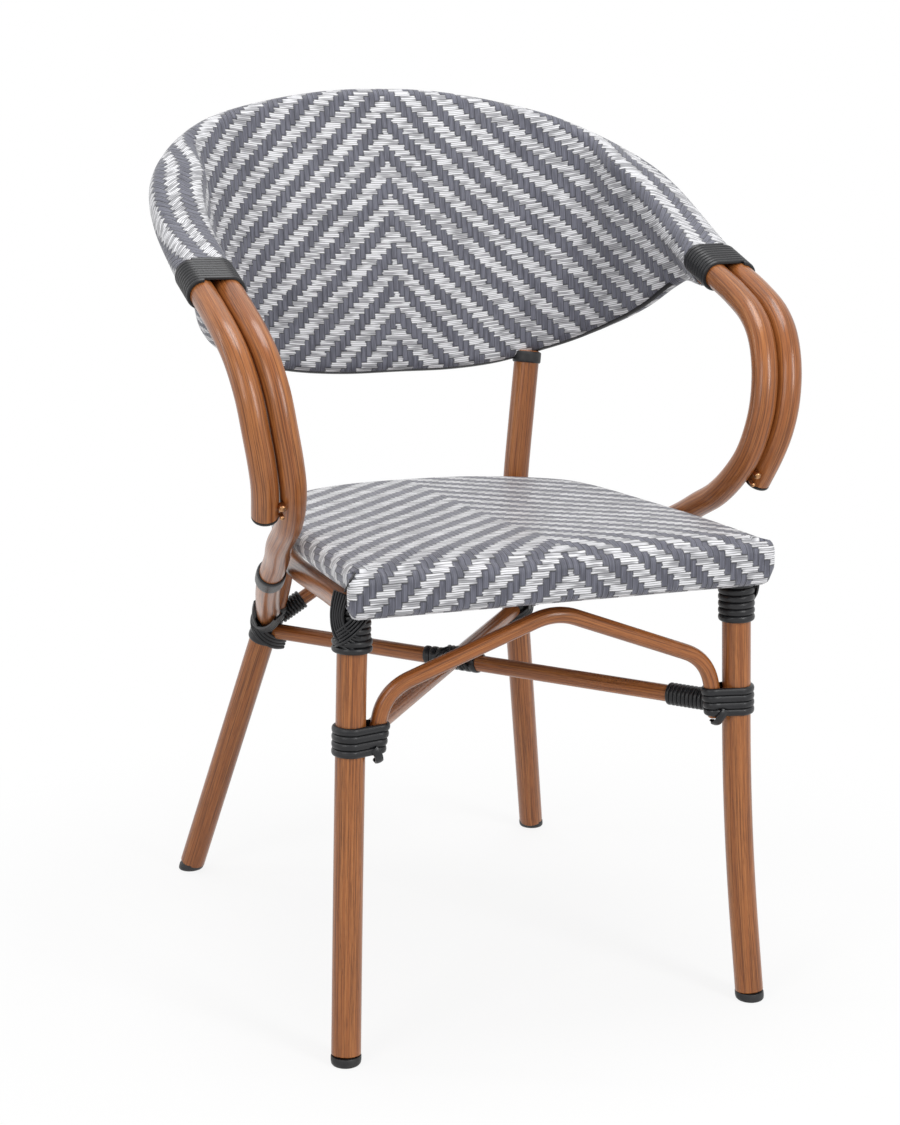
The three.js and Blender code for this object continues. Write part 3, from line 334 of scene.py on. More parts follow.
def makeStreaks():
    tree, source, result = shaderGroup(
        "longStreaks",
        [("Place", "vector"), ("Along", "value"), ("Across", "value")],
        [("Fine", "value"), ("Broad", "value"), ("Pores", "value")])
    split = node(tree, "ShaderNodeSeparateXYZ")
    feed(tree, split.inputs[0], source.outputs["Place"])
    along = calc(tree, "MULTIPLY", split.outputs[0], source.outputs["Along"])
    sides = [calc(tree, "MULTIPLY", split.outputs[k], source.outputs["Across"]) for k in (1, 2)]
    vector = joined(tree, along, *sides)
    feed(tree, result.inputs["Fine"], noise(tree, vector, *streakShape["fine"]))
    feed(tree, result.inputs["Broad"], noise(tree, vector, *streakShape["broad"]))
    shorter = joined(tree, calc(tree, "MULTIPLY", along, streakShape["poreShortness"]), *sides)
    pores = noise(tree, shorter, *streakShape["pores"])
    feed(tree, result.inputs["Pores"], ramp(tree, pores, *streakShape["poreRamp"]))
    return tree


# Weave of white wefts over grey warps in a pointed twill; Place is (across, down, 0) in metres.
# Pairs hold the weft's value and then the warp's, or the two ends of a ramp
weaveShape = {
    "float": 3.0, "cover": 0.11, "wanderScale": 60.0, "wander": 0.2, "filaments": 3.0, "floatEnd": 0.16,
    "frayAlong": 0.25, "frayApart": 2.73, "fray": 0.55, "edge": (0.07, 0.16), "groove": (0.03, 0.22),
    "tone": (0.36, 0.6), "toneApart": 3.71, "toneAlong": 0.29, "toneLevel": 1.7, "gapShade": (0.5, 0.66),
    "grooveShade": (0.34, 0.84), "grooveHeight": 0.3,
}


def makeWeave():
    tree, source, result = shaderGroup(
        "pointedTwill",
        [("Place", "vector"), ("Warp Width", "value"), ("Weft Height", "value"),
         ("White", "color"), ("Silver", "color"), ("Grey", "color"), ("Slate", "color")],
        [("Color", "color"), ("Height", "value"), ("Weft", "value")])
    split = node(tree, "ShaderNodeSeparateXYZ")
    feed(tree, split.inputs[0], source.outputs["Place"])
    filaments, period = weaveShape["filaments"], 2 * weaveShape["float"]
    wander = noise(tree, source.outputs["Place"], weaveShape["wanderScale"], 1.0)
    u = calc(tree, "DIVIDE", split.outputs[0], source.outputs["Warp Width"])
    v = calc(tree, "ADD", calc(tree, "DIVIDE", split.outputs[1], source.outputs["Weft Height"]),
             calc(tree, "MULTIPLY", calc(tree, "SUBTRACT", wander, 0.5), weaveShape["wander"]))

    # Each filament of a white weft ends at its own place
    filament = calc(tree, "FLOOR", calc(tree, "MULTIPLY", v, filaments))
    ragged = noise(tree, joined(tree, calc(tree, "MULTIPLY", u, weaveShape["frayAlong"]),
                                calc(tree, "MULTIPLY", filament, weaveShape["frayApart"]), 0.0), 1.0, 0.0)
    frayed = calc(tree, "ADD", u,
                  calc(tree, "MULTIPLY", calc(tree, "SUBTRACT", ragged, 0.5), weaveShape["fray"]))
    fromMiddle = calc(tree, "ADD", calc(tree, "ABSOLUTE", frayed), 0.5)
    column = calc(tree, "FLOOR", fromMiddle)

    # The thick wefts cover a little of the warps' ends
    cover = weaveShape["cover"]
    weftLength, warpLength = weaveShape["float"] + 2 * cover, weaveShape["float"] - 2 * cover
    offset = calc(tree, "ADD", calc(tree, "SUBTRACT", v, column), cover)
    phase = calc(tree, "FLOORED_MODULO", offset, period)
    weft = calc(tree, "LESS_THAN", phase, weftLength)
    strandPlace = calc(tree, "MINIMUM", calc(tree, "MAXIMUM", calc(tree, "SUBTRACT", phase, cover), 0.0),
                       weaveShape["float"] - 0.001)
    before = calc(tree, "MULTIPLY", calc(tree, "FLOOR", calc(tree, "DIVIDE", offset, period)), period)
    row = calc(tree, "ADD", calc(tree, "FLOOR", strandPlace), calc(tree, "ADD", column, before))
    weftPlace = calc(tree, "FLOORED_MODULO",
                     calc(tree, "SUBTRACT", calc(tree, "ADD", row, 1.0), fromMiddle), period)
    warpPlace = calc(tree, "SUBTRACT", phase, weftLength)

    # Less body near a float's ends, where the strand dips under; this lowers the height and deepens the
    # painted shade
    def floatEnd(place, length):
        rest = calc(tree, "SUBTRACT", length, place)
        return ramp(tree, calc(tree, "MINIMUM", place, rest), 0.0, weaveShape["floatEnd"])

    # How much of a strand's body, its grooves and its tone there is at a place across it; body and grooves
    # set the height and the painted shade
    def strand(place, index, lengthwise, edgeWidth):
        across = calc(tree, "FRACT", place)
        edge = calc(tree, "MINIMUM", across, calc(tree, "SUBTRACT", 1.0, across))
        body = ramp(tree, edge, 0.0, edgeWidth)
        fine = calc(tree, "MULTIPLY", across, filaments)
        number = calc(tree, "ADD", calc(tree, "FLOOR", fine), calc(tree, "MULTIPLY", index, filaments))
        inside = calc(tree, "FRACT", fine)
        groove = ramp(tree, calc(tree, "MINIMUM", inside, calc(tree, "SUBTRACT", 1.0, inside)),
                      *weaveShape["groove"])
        tone = noise(tree, joined(tree, calc(tree, "MULTIPLY", number, weaveShape["toneApart"]),
                                  calc(tree, "MULTIPLY", lengthwise, weaveShape["toneAlong"]),
                                  weaveShape["toneLevel"]), 1.0, 0.0)
        return body, groove, ramp(tree, tone, *weaveShape["tone"])

    ends = calc(tree, "ADD", u, 0.5)
    weftBody, weftGroove, weftTone = strand(strandPlace, row, u, weaveShape["edge"][0])
    warpBody, warpGroove, warpTone = strand(ends, calc(tree, "FLOOR", ends), v, weaveShape["edge"][1])
    white = blendColor(tree, weftTone, source.outputs["Silver"], source.outputs["White"])
    grey = blendColor(tree, warpTone, source.outputs["Grey"], source.outputs["Slate"])

    def pick(first, second):
        made = node(tree, "ShaderNodeMix", data_type="FLOAT")
        for key, value in (("Factor_Float", weft), ("A_Float", second), ("B_Float", first)):
            feed(tree, next(s for s in made.inputs if s.identifier == key), value)
        return next(s for s in made.outputs if s.identifier == "Result_Float")

    body = pick(calc(tree, "MULTIPLY", weftBody, floatEnd(weftPlace, weaveShape["float"])),
                calc(tree, "MULTIPLY", warpBody, floatEnd(warpPlace, warpLength)))
    groove = pick(weftGroove, warpGroove)
    gap = pick(*weaveShape["gapShade"])
    line = pick(*weaveShape["grooveShade"])
    # Painted shade: the colour is darkened in the gaps between strands, where a strand dips at its float's
    # ends, and in the grooves between filaments
    shade = calc(tree, "MULTIPLY",
                 calc(tree, "ADD", gap, calc(tree, "MULTIPLY", body, calc(tree, "SUBTRACT", 1.0, gap))),
                 calc(tree, "ADD", line, calc(tree, "MULTIPLY", groove, calc(tree, "SUBTRACT", 1.0, line))))
    thread = blendColor(tree, weft, grey, white)
    feed(tree, result.inputs["Color"],
         blendColor(tree, 1.0, thread, joined(tree, shade, shade, shade), "MULTIPLY"))
    feed(tree, result.inputs["Height"],
         calc(tree, "ADD", body,
              calc(tree, "MULTIPLY", calc(tree, "MULTIPLY", groove, body), weaveShape["grooveHeight"])))
    feed(tree, result.inputs["Weft"], weft)
    return tree


streaks = makeStreaks()
weave = makeWeave()


# A material with its Principled shader's constant sockets set; colours are left to its own nodes
def newMaterial(name, sockets):
    material = bpy.data.materials.new(name)
    material.use_nodes = True
    tree = material.node_tree
    shader = tree.nodes["Principled BSDF"]
    for key, value in sockets.items():
        shader.inputs[key].default_value = value
    return material, tree, shader


def placeOf(tree):
    return node(tree, "ShaderNodeAttribute", attribute_name="place").outputs["Vector"]


def streaksIn(tree, along, across):
    made = node(tree, "ShaderNodeGroup", node_tree=streaks)
    feed(tree, made.inputs["Place"], placeOf(tree))
    made.inputs["Along"].default_value = along
    made.inputs["Across"].default_value = across
    return made.outputs


# Roughness that follows a value: least where it is 0, and more by the swing where it is 1
def feedRoughness(tree, shader, look, value):
    feed(tree, shader.inputs["Roughness"],
         calc(tree, "ADD", look["leastRoughness"], calc(tree, "MULTIPLY", value, look["roughnessSwing"])))


def addBump(tree, shader, height, distance, strength):
    bump = node(tree, "ShaderNodeBump")
    bump.inputs["Distance"].default_value = distance
    bump.inputs["Strength"].default_value = strength
    feed(tree, bump.inputs["Height"], height)
    tree.links.new(bump.outputs[0], shader.inputs["Normal"])


# Bumps are (distance in metres, strength)
caneLook = {
    "base": (0.325, 0.106, 0.027, 1), "dark": (0.11, 0.031, 0.008, 1), "light": (0.41, 0.152, 0.043, 1),
    "along": 4.0, "across": 430.0, "lightRamp": (0.35, 0.68), "darkRamp": (0.46, 0.62), "darkShare": 0.8,
    "poreShare": 0.55, "leastRoughness": 0.25, "roughnessSwing": 0.16, "bump": (0.00025, 0.5),
    "sockets": {"Specular IOR Level": 0.3, "Coat Weight": 0.3, "Coat Roughness": 0.16},
}


def makeCane():
    material, tree, shader = newMaterial("caneTube", caneLook["sockets"])
    lines = streaksIn(tree, caneLook["along"], caneLook["across"])
    color = blendColor(tree, ramp(tree, lines["Broad"], *caneLook["lightRamp"]), caneLook["base"],
                       caneLook["light"])
    streak = calc(tree, "MULTIPLY", ramp(tree, lines["Fine"], *caneLook["darkRamp"]), caneLook["darkShare"])
    color = blendColor(tree, streak, color, caneLook["dark"])
    color = blendColor(tree, calc(tree, "MULTIPLY", lines["Pores"], caneLook["poreShare"]), color,
                       caneLook["dark"])
    feed(tree, shader.inputs["Base Color"], color)
    feedRoughness(tree, shader, caneLook, lines["Fine"])
    addBump(tree, shader, lines["Fine"], *caneLook["bump"])
    return material


stripLook = {
    "base": (0.0065, 0.0068, 0.0083, 1), "pale": (0.016, 0.0165, 0.019, 1), "along": 14.0, "across": 420.0,
    "paleRamp": (0.42, 0.7), "leastRoughness": 0.3, "roughnessSwing": 0.2, "bump": (0.0003, 0.6),
    "sockets": {"Specular IOR Level": 0.35, "Coat Weight": 0.15, "Coat Roughness": 0.26},
}


def makeStrip():
    material, tree, shader = newMaterial("blackStrip", stripLook["sockets"])
    lines = streaksIn(tree, stripLook["along"], stripLook["across"])
    pale = ramp(tree, lines["Fine"], *stripLook["paleRamp"])
    feed(tree, shader.inputs["Base Color"], blendColor(tree, pale, stripLook["base"], stripLook["pale"]))
    feedRoughness(tree, shader, stripLook, lines["Broad"])
    addBump(tree, shader, lines["Fine"], *stripLook["bump"])
    return material


# Patches and grain are (scale, detail)
plasticLook = {
    "base": (0.017, 0.017, 0.018, 1), "second": (0.036, 0.036, 0.037, 1), "patches": (60.0, 3.0),
    "patchRamp": (0.4, 0.7), "grain": (1400.0, 3.0), "leastRoughness": 0.4, "roughnessSwing": 0.14,
    "bump": (0.0002, 0.5), "sockets": {"Specular IOR Level": 0.35},
}
studLook = {
    "base": (0.5, 0.27, 0.13, 1), "second": (0.2, 0.09, 0.04, 1), "patches": (260.0, 3.0),
    "patchRamp": (0.45, 0.75), "leastRoughness": 0.22, "roughnessSwing": 0.2, "sockets": {"Metallic": 1.0},
}


# A finish in two colours, worn in patches, with or without a fine grain
def makePatchy(name, look):
    material, tree, shader = newMaterial(name, look["sockets"])
    coordinates = node(tree, "ShaderNodeTexCoord").outputs["Object"]
    patches = noise(tree, coordinates, *look["patches"])
    feed(tree, shader.inputs["Base Color"],
         blendColor(tree, ramp(tree, patches, *look["patchRamp"]), look["base"], look["second"]))
    feedRoughness(tree, shader, look, patches)
    if "grain" in look:
        addBump(tree, shader, noise(tree, coordinates, *look["grain"]), *look["bump"])
    return material


weaveLook = {
    "White": (0.76, 0.76, 0.785, 1), "Silver": (0.37, 0.37, 0.39, 1), "Grey": (0.105, 0.107, 0.134, 1),
    "Slate": (0.15, 0.153, 0.19, 1), "drift": (16.0, 2.0), "leastShade": 0.93, "shadeSwing": 0.14,
    "leastRoughness": 0.45, "roughnessSwing": -0.1, "bump": (0.0007, 0.8),
    "sockets": {"Specular IOR Level": 0.25, "Sheen Weight": 0.3, "Sheen Roughness": 0.4},
}


def makeClothMaterial(name, warpWidth, weftHeight):
    material, tree, shader = newMaterial(name, weaveLook["sockets"])
    place = placeOf(tree)
    made = node(tree, "ShaderNodeGroup", node_tree=weave)
    feed(tree, made.inputs["Place"], place)
    made.inputs["Warp Width"].default_value = warpWidth * mm
    made.inputs["Weft Height"].default_value = weftHeight * mm
    for label in ("White", "Silver", "Grey", "Slate"):
        made.inputs[label].default_value = weaveLook[label]
    drift = noise(tree, place, *weaveLook["drift"])
    shade = calc(tree, "ADD", weaveLook["leastShade"], calc(tree, "MULTIPLY", drift, weaveLook["shadeSwing"]))
    feed(tree, shader.inputs["Base Color"],
         blendColor(tree, 1.0, made.outputs["Color"], joined(tree, shade, shade, shade), "MULTIPLY"))
    feedRoughness(tree, shader, weaveLook, made.outputs["Weft"])
    addBump(tree, shader, made.outputs["Height"], *weaveLook["bump"])
    return material


caneTube = makeCane()
blackStrip = makeStrip()
blackPlastic = makePatchy("blackPlastic", plasticLook)
studMetal = makePatchy("studMetal", studLook)
backWeave = makeClothMaterial("backWeave", warpWidth=6.0, weftHeight=5.63)
seatWeave = makeClothMaterial("seatWeave", warpWidth=5.76, weftHeight=5.73)
print("materials made")


# A piece of the chair from points in millimetres; it rides on the chair's one body and stands for CAD nodes
def makePiece(name, points, faces, material, nodes=(), place=None, mirror=False, crease=40):
    points = np.array(points, float).reshape(-1, 3).copy()
    if mirror:
        points[:, 0] *= -1
        faces = [tuple(reversed(f)) for f in faces]
    points[:, 1] += shiftY
    mesh = bpy.data.meshes.new(name)
    mesh.from_pydata((points * mm).tolist(), [], [tuple(int(i) for i in f) for f in faces])
    if place is not None:
        layer = mesh.attributes.new("place", "FLOAT_VECTOR", "POINT")
        layer.data.foreach_set("vector", (np.array(place, float).reshape(-1, 3) * mm).ravel())
    mesh.polygons.foreach_set("use_smooth", [True] * len(mesh.polygons))
    mesh.set_sharp_from_angle(angle=math.radians(crease))
    mesh.materials.append(material)
    mesh.update()
    obj = bpy.data.objects.new(name, mesh)
    scene.collection.objects.link(obj)
    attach(obj, "root")
    if nodes:
        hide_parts(*nodes)
    return obj


# Faces over a row of closed rings, with a cap at either end
def skinFaces(ringCount, count, first=0):
    faces = []
    for i in range(ringCount - 1):
        for j in range(count):
            a = first + i * count + j
            b = first + i * count + (j + 1) % count
            faces.append((a, b, b + count, a + count))
    faces.append(tuple(first + j for j in reversed(range(count))))
    end = first + (ringCount - 1) * count
    faces.append(tuple(end + j for j in range(count)))
    return faces


# Side directions that turn along with a line and never twist about it
def carriedSides(ways, start):
    side = start - ways[0] * np.dot(start, ways[0])
    sides = [unit(side)]
    for way in ways[1:]:
        side = sides[-1] - way * np.dot(sides[-1], way)
        sides.append(unit(side))
    return np.array(sides)


# Faces between rings that close both round and along
def loopFaces(ringCount, count, first=0):
    faces = []
    for i in range(ringCount):
        k = (i + 1) % ringCount
        for j in range(count):
            m = (j + 1) % count
            faces.append((first + i * count + j, first + i * count + m,
                          first + k * count + m, first + k * count + j))
    return faces


tubeNumbers = itertools.count(1)


# A round tube along a route, with softly rounded ends; its number keeps the grain of two tubes apart
def tubeSkin(route, radius, low=0.0, high=None):
    high = route.length if high is None else high
    lip = tubeSizes["lip"]
    count = max(2, int(round((high - low - 2 * lip) / tubeSizes["step"])) + 1)
    places = np.concatenate([[low], np.linspace(low + lip, high - lip, count), [high]])
    angles = np.linspace(0, 2 * math.pi, tubeSizes["sides"], endpoint=False)
    centres, ways = route.at(places), route.way(places)
    steep = abs(ways[0][2]) >= 0.8
    sides = carriedSides(ways, np.array([0.0, 1, 0]) if steep else np.array([0.0, 0, 1]))
    others = np.cross(ways, sides)
    radii = np.full(len(places), radius)
    radii[0] = radii[-1] = radius - lip
    circle = np.cos(angles)[None, :, None] * sides[:, None] + np.sin(angles)[None, :, None] * others[:, None]
    points = centres[:, None] + circle * radii[:, None, None]
    number = next(tubeNumbers)
    place = np.zeros_like(points)
    place[..., 0] = places[:, None] + tubeSizes["grainAlong"] * number
    place[..., 1] = radius * np.cos(angles)[None]
    place[..., 2] = radius * np.sin(angles)[None] + tubeSizes["grainAcross"] * number
    return points.reshape(-1, 3), skinFaces(len(places), len(angles)), place


def tubePiece(name, route, radius, nodes, low=0.0, high=None, mirror=False):
    points, faces, place = tubeSkin(route, radius, low, high)
    return makePiece(name, points, faces, caneTube, nodes, place, mirror)


def tubePair(name, route, radius, nodeName, low=0.0, high=None):
    for side in bothSides:
        tubePiece(f"tube_{name}_{side}", route, radius, [f"{nodeName}_{side}"], low, high, side == "left")


# Radius of the cloth's outer side round a tube
def clothR(radius):
    return radius + cloth["gap"] + cloth["thickness"]


# Legs and their glides
frontTop = frontLeg.where(2, frontHead[2] - clothR(seatR) - legFrame["topGap"])
rearTop = rearLeg.where(2, rearHead[2] - clothR(lowerR) + legFrame["topInto"])
legBottom = legFrame["glideHeight"] + tubeSizes["gap"]
tubePair("front_leg", frontLeg, legR, "front_leg", frontLeg.where(2, legBottom), frontTop)
tubePair("rear_leg", rearLeg, legR, "rear_leg", rearLeg.where(2, legBottom), rearTop)

# The profile is (radius, height) in shares of the leg's radius and of the glide's height
glideShape = {"profile": [(0.86, 0), (0.93, 0.06), (1, 0.2), (1.03, 0.45), (1.03, 0.9), (1, 1)], "sides": 40,
              "crease": 30}


def makeGlides(name, leg, nodeName):
    base, high = leg.pointWhere(2, 0), leg.pointWhere(2, legFrame["glideHeight"])
    lean = (high - base) / legFrame["glideHeight"]
    angles = np.linspace(0, 2 * math.pi, glideShape["sides"], endpoint=False)
    rings = []
    for share, rise in glideShape["profile"]:
        centre = base + lean * legFrame["glideHeight"] * rise
        ring = np.stack([np.cos(angles), np.sin(angles), 0 * angles], axis=-1) * legR * share
        rings.append(centre + ring)
    points = np.concatenate(rings)
    for side in bothSides:
        makePiece(f"glide_{name}_{side}", points, skinFaces(len(rings), len(angles)), blackPlastic,
                  [f"{nodeName}_{side}"], points, side == "left", glideShape["crease"])


makeGlides("front", frontLeg, "front_foot_glide")
makeGlides("rear", rearLeg, "rear_foot_glide")
print("legs built")

# Seat tube and rails
tubePiece("tube_seat", seatRoute, seatR, ["seat_tube"], seatFrame["endGap"],
          seatRoute.length - seatFrame["endGap"])
railContact = clothR(seatR) + railR + tubeSizes["gap"]
rearRailZ = seatFrame["tubeZ"] - math.sqrt(railContact ** 2 - railFrame["rearSetback"] ** 2)
rearRailEnd = np.array([rearLeg.pointWhere(2, rearRailZ)[0], seatFrame["rearY"] + railFrame["rearSetback"],
                        rearRailZ])
crossEnd = frontLeg.pointWhere(2, seatFrame["tubeZ"] - railFrame["crossFall"])
sideMiddle = [np.array([seatFrame["sideX"] * x, mix(legFrame["frontKnee"][1], legFrame["rearKnee"][1], y),
                        seatFrame["tubeZ"] - railFrame["sideFall"] * z])
              for x, y, z in railFrame["sideShares"]]
sideRail = smoothRoute([
    frontLeg.pointWhere(2, seatFrame["tubeZ"] - railFrame["sideFall"] * railFrame["frontShare"]), *sideMiddle,
    rearLeg.pointWhere(2, seatFrame["tubeZ"] - railFrame["sideFall"] * railFrame["rearShare"])])
into = legR * intoShares["rail"]
tubePair("side_rail", sideRail, railR, "side_rail", into, sideRail.length - into)
crossRail = Route([crossEnd, mirrored([crossEnd])[0]])
tubePiece("tube_front_cross", crossRail, railR, ["front_cross_rail"], into, crossRail.length - into)
rearRail = Route([rearRailEnd, mirrored([rearRailEnd])[0]])
tubePiece("tube_rear_rail", rearRail, railR, ["rear_rail"], into, rearRail.length - into)

# The ends are rounded: each pair is (distance from the end, how much less the outline's radius is)
frontRail = {"steps": 16, "ends": [(0, 5), (1.5, 2.5), (4, 0.8), (8, 0)]}


def makeFrontRail():
    radius = seatFrame["railThickness"] / 2
    flat = (seatFrame["railHeight"] - seatFrame["railThickness"]) / 2
    angles = np.linspace(-math.pi / 2, math.pi / 2, frontRail["steps"])
    upper = [(-radius * math.sin(a), flat + radius * math.cos(a)) for a in angles]
    lower = [(radius * math.sin(a), -flat - radius * math.cos(a)) for a in angles]
    outline = np.array(upper + lower)
    rings = []
    ends = [(railHalf - inward, shrink) for inward, shrink in frontRail["ends"]]
    for x, shrink in [(-x, shrink) for x, shrink in ends] + [(0, 0)] + ends[::-1]:
        scaled = outline * (1 - shrink / radius)
        ring = [(x, seatFrame["railY"] + y, seatFrame["railZ"] + z) for y, z in scaled]
        rings.append(ring)
    faces = [tuple(reversed(f)) for f in skinFaces(len(rings), len(outline))]
    makePiece("front_rail_bar", rings, faces, caneTube, ["seat_front_rail"], rings)


makeFrontRail()

# Stretchers and bows
into, intoCrossing = legR * intoShares["brace"], braceR * intoShares["crossing"]
tubePiece("tube_stretcher_through", throughLine, braceR, ["stretcher_through"], into,
          throughLine.length - into)
frontHalf = Route([mirrored([braceFront])[0], crossing])
rearHalf = Route([crossing, braceRear])
tubePiece("tube_stretcher_front", frontHalf, braceR, ["stretcher_front_half"], into,
          frontHalf.length - intoCrossing)
tubePiece("tube_stretcher_rear", rearHalf, braceR, ["stretcher_rear_half"], intoCrossing,
          rearHalf.length - into)
tubePiece("tube_front_bow", frontBow, bowR, ["front_bow"])
tubePiece("tube_rear_bow", rearBow, bowR, ["rear_bow"], into, rearBow.length - into)

# Arms and rims
armButt = tubeSizes["gap"]
tubePair("arm_outer", outerArm, armR, "arm_tube_outer", armButt, outerArm.length)
tubePair("arm_inner", innerArm, armR, "arm_tube_inner", armButt, innerArm.length - into)
tubePiece("tube_rim_upper", rimRoute, armR, ["back_rim_upper"], armButt, rimRoute.length - armButt)
tubePiece("tube_rim_lower", lowerRoute, lowerR, ["back_rim_lower"])
print("tubes built")

# Sling back: toward the arms the upper rim is doubled, and the cloth goes round both of its tubes
backNet = {"across": 200, "lowerSteps": 14, "panelSteps": 46, "frontSteps": 9, "rearSteps": 16, "levels": 60,
           "beyond": 5, "waySpan": 3.0, "lowerTurn": math.radians(200), "upperTurn": math.radians(225),
           "crownTurn": math.radians(1), "apexZ": 818.0, "rowRise": 0.99, "stretch": 1.05, "skew": -0.00025,
           "wefts": 0.0004, "stubSteps": 30, "crease": 60}
rimReach = 0.5 - rimRoute.where(1, bandRear[1] + cloth["hemSetback"], 0, 0.5) / rimRoute.length


def rimStation(share):
    upperPlace = (0.5 + rimReach * share) * rimRoute.length
    lowerPlace = (0.5 + share / 2) * lowerRoute.length
    way = rimRoute.way(upperPlace, backNet["waySpan"])
    inside = unit([way[1], -way[0], 0])
    fade = smoothstep(abs(share), cloth["innerShare"] - cloth["fadeShare"], cloth["innerShare"])
    upper = rimRoute.at(upperPlace)
    return {"way": way, "inside": inside, "upper": upper, "inner": upper + inside * pairSpacing * fade,
            "lower": lowerRoute.at(lowerPlace), "lowerWay": lowerRoute.way(lowerPlace, backNet["waySpan"])}


stubShares = np.linspace(cloth["innerShare"], 1, backNet["stubSteps"])
stubPoints = [rimStation(s)["inner"] for s in stubShares] + [bandMiddle + pairShift]
stubRoute = Route(stubPoints)
tubePair("rim_inner", stubRoute, armR, "back_rim_inner", 0, stubRoute.length - armButt)


# A direction square to a tube: at angle 0 it points to the sitter, and a quarter turn on, up the back
def around(way, rise, angle):
    level = unit(rise - way * np.dot(rise, way))
    front = -np.cross(level, way)
    return front * math.cos(angle) + level * math.sin(angle)


# Points and normals of one section: round the lower rim, up the panel and over the upper rim
def backSection(share):
    station = rimStation(share)
    way, lowerWay, upper, lower, inner, inside = (
        station[k] for k in ("way", "lowerWay", "upper", "lower", "inner", "inside"))
    rise = unit(upper - lower)
    panel = inner - lower
    high = np.dot(panel, around(way, rise, math.pi / 2))
    ahead = np.dot(panel, around(way, rise, 0))
    tangent = math.atan2(-ahead, high) + math.asin((lowerR - armR) / math.hypot(high, ahead))
    upperR, lowR = armR + cloth["gap"], lowerR + cloth["gap"]
    points, normals = [], []
    for angle in np.linspace(-backNet["lowerTurn"], tangent, backNet["lowerSteps"] + 1):
        normal = around(lowerWay, rise, angle)
        points.append(lower + normal * lowR)
        normals.append(normal)
    start, startNormal = points[-1], normals[-1]
    firstNormal = around(way, rise, tangent)
    first = inner + firstNormal * upperR
    depth = np.linalg.norm(panel) / (backFrame["rimRise"] + bandRear[2] - backFrame["lowerZ"])
    for part in np.linspace(0, 1, backNet["panelSteps"] + 2)[1:-1]:
        bulge = cloth["bow"] * depth * depth * 4 * part * (1 - part)
        points.append(mix(start, first, part) + firstNormal * bulge)
        normals.append(unit(mix(startNormal, firstNormal, part)))
    crown = math.pi / 2 + math.atan2(np.dot(inside, around(way, rise, math.pi / 2)),
                                     np.dot(inside, around(way, rise, 0)))
    for angle in np.linspace(tangent, crown - backNet["crownTurn"], backNet["frontSteps"] + 1):
        normal = around(way, rise, angle)
        points.append(inner + normal * upperR)
        normals.append(normal)
    for angle in np.linspace(crown + backNet["crownTurn"], backNet["upperTurn"], backNet["rearSteps"] + 1):
        normal = around(way, rise, angle)
        points.append(upper + normal * upperR)
        normals.append(normal)
    return np.array(points), np.array(normals)


# The cloth's own map: across is counted level along the panel, down is counted from the top apex
def clothMap(points, low, high):
    sections, count = points.shape[:2]
    middle = sections // 2
    place = np.zeros((sections, count, 3))
    heights = points[:, low:high, 2]
    levels = np.linspace(heights.min() - backNet["beyond"], heights.max() + backNet["beyond"],
                         backNet["levels"])
    rows = np.zeros((sections, len(levels), 2))
    for i in range(sections):
        a, b = points[i, low], points[i, high - 1]
        t = (levels - a[2]) / (b[2] - a[2])
        panel = points[i, low:high]
        for k in range(2):
            straight = a[k] + (b[k] - a[k]) * t
            rows[i, :, k] = np.where((t > 0) & (t < 1), np.interp(levels, panel[:, 2], panel[:, k]), straight)
    across = np.zeros((sections, len(levels)))
    steps = np.linalg.norm(np.diff(rows, axis=0), axis=2)
    across[middle + 1:] = np.cumsum(steps[middle:], axis=0)
    across[:middle] = -np.cumsum(steps[:middle][::-1], axis=0)[::-1]
    for i in range(sections):
        z = points[i, low:high, 2]
        u = np.interp(z, levels, across[i])
        place[i, low:high, 0] = backNet["stretch"] * u + backNet["skew"] * u * u
        place[i, low:high, 1] = (backNet["apexZ"] - z) / backNet["rowRise"] + backNet["wefts"] * u * u

    # Round the rims the map goes on square to the edge of the panel
    for edge, order in ((low, range(low - 1, -1, -1)), (high - 1, range(high, count))):
        line = place[:, edge, :2]
        along = unit(np.gradient(line, axis=0))
        outward = np.stack([along[:, 1], -along[:, 0]], axis=1)
        inward = place[:, edge + (1 if edge == low else -1), :2] - line
        flip = np.sign(np.sum(outward * inward, axis=1))
        outward = -outward * flip[:, None]
        before = edge
        run = np.zeros(sections)
        for j in order:
            run = run + np.linalg.norm(points[:, j] - points[:, before], axis=1)
            place[:, j, :2] = line + outward * run[:, None]
            before = j
    return place


# Two skins over a net of rows and columns, closed along its hems
def closedSheet(inner, outer, faces):
    count = len(inner)
    points = np.concatenate([outer, inner])
    edges = set()
    for f in faces:
        for a, b in zip(f, f[1:] + f[:1]):
            edges.add((a, b))
    rims = [(b, a, a + count, b + count) for a, b in edges if (b, a) not in edges]
    return points, faces + [tuple(i + count for i in reversed(f)) for f in faces] + rims


def gridFaces(rows, columns):
    return [(i * columns + j, (i + 1) * columns + j, (i + 1) * columns + j + 1, i * columns + j + 1)
            for i in range(rows - 1) for j in range(columns - 1)]


def makeBackCloth():
    shares = np.linspace(-1, 1, 2 * (backNet["across"] // 2) + 1)
    sections = [backSection(s) for s in shares]
    points = np.array([s[0] for s in sections])
    normals = np.array([s[1] for s in sections])
    low = backNet["lowerSteps"]
    high = low + backNet["panelSteps"] + 2
    place = clothMap(points, low, high).reshape(-1, 3)
    faces = gridFaces(*points.shape[:2])
    flatPoints, flatNormals = points.reshape(-1, 3), normals.reshape(-1, 3)
    outer = flatPoints + flatNormals * cloth["thickness"]
    skin, allFaces = closedSheet(flatPoints, outer, faces)
    obj = makePiece("sling_back", skin, allFaces, backWeave, ["back_cloth"],
                    np.concatenate([place, place]), crease=backNet["crease"])


makeBackCloth()
print("back built")

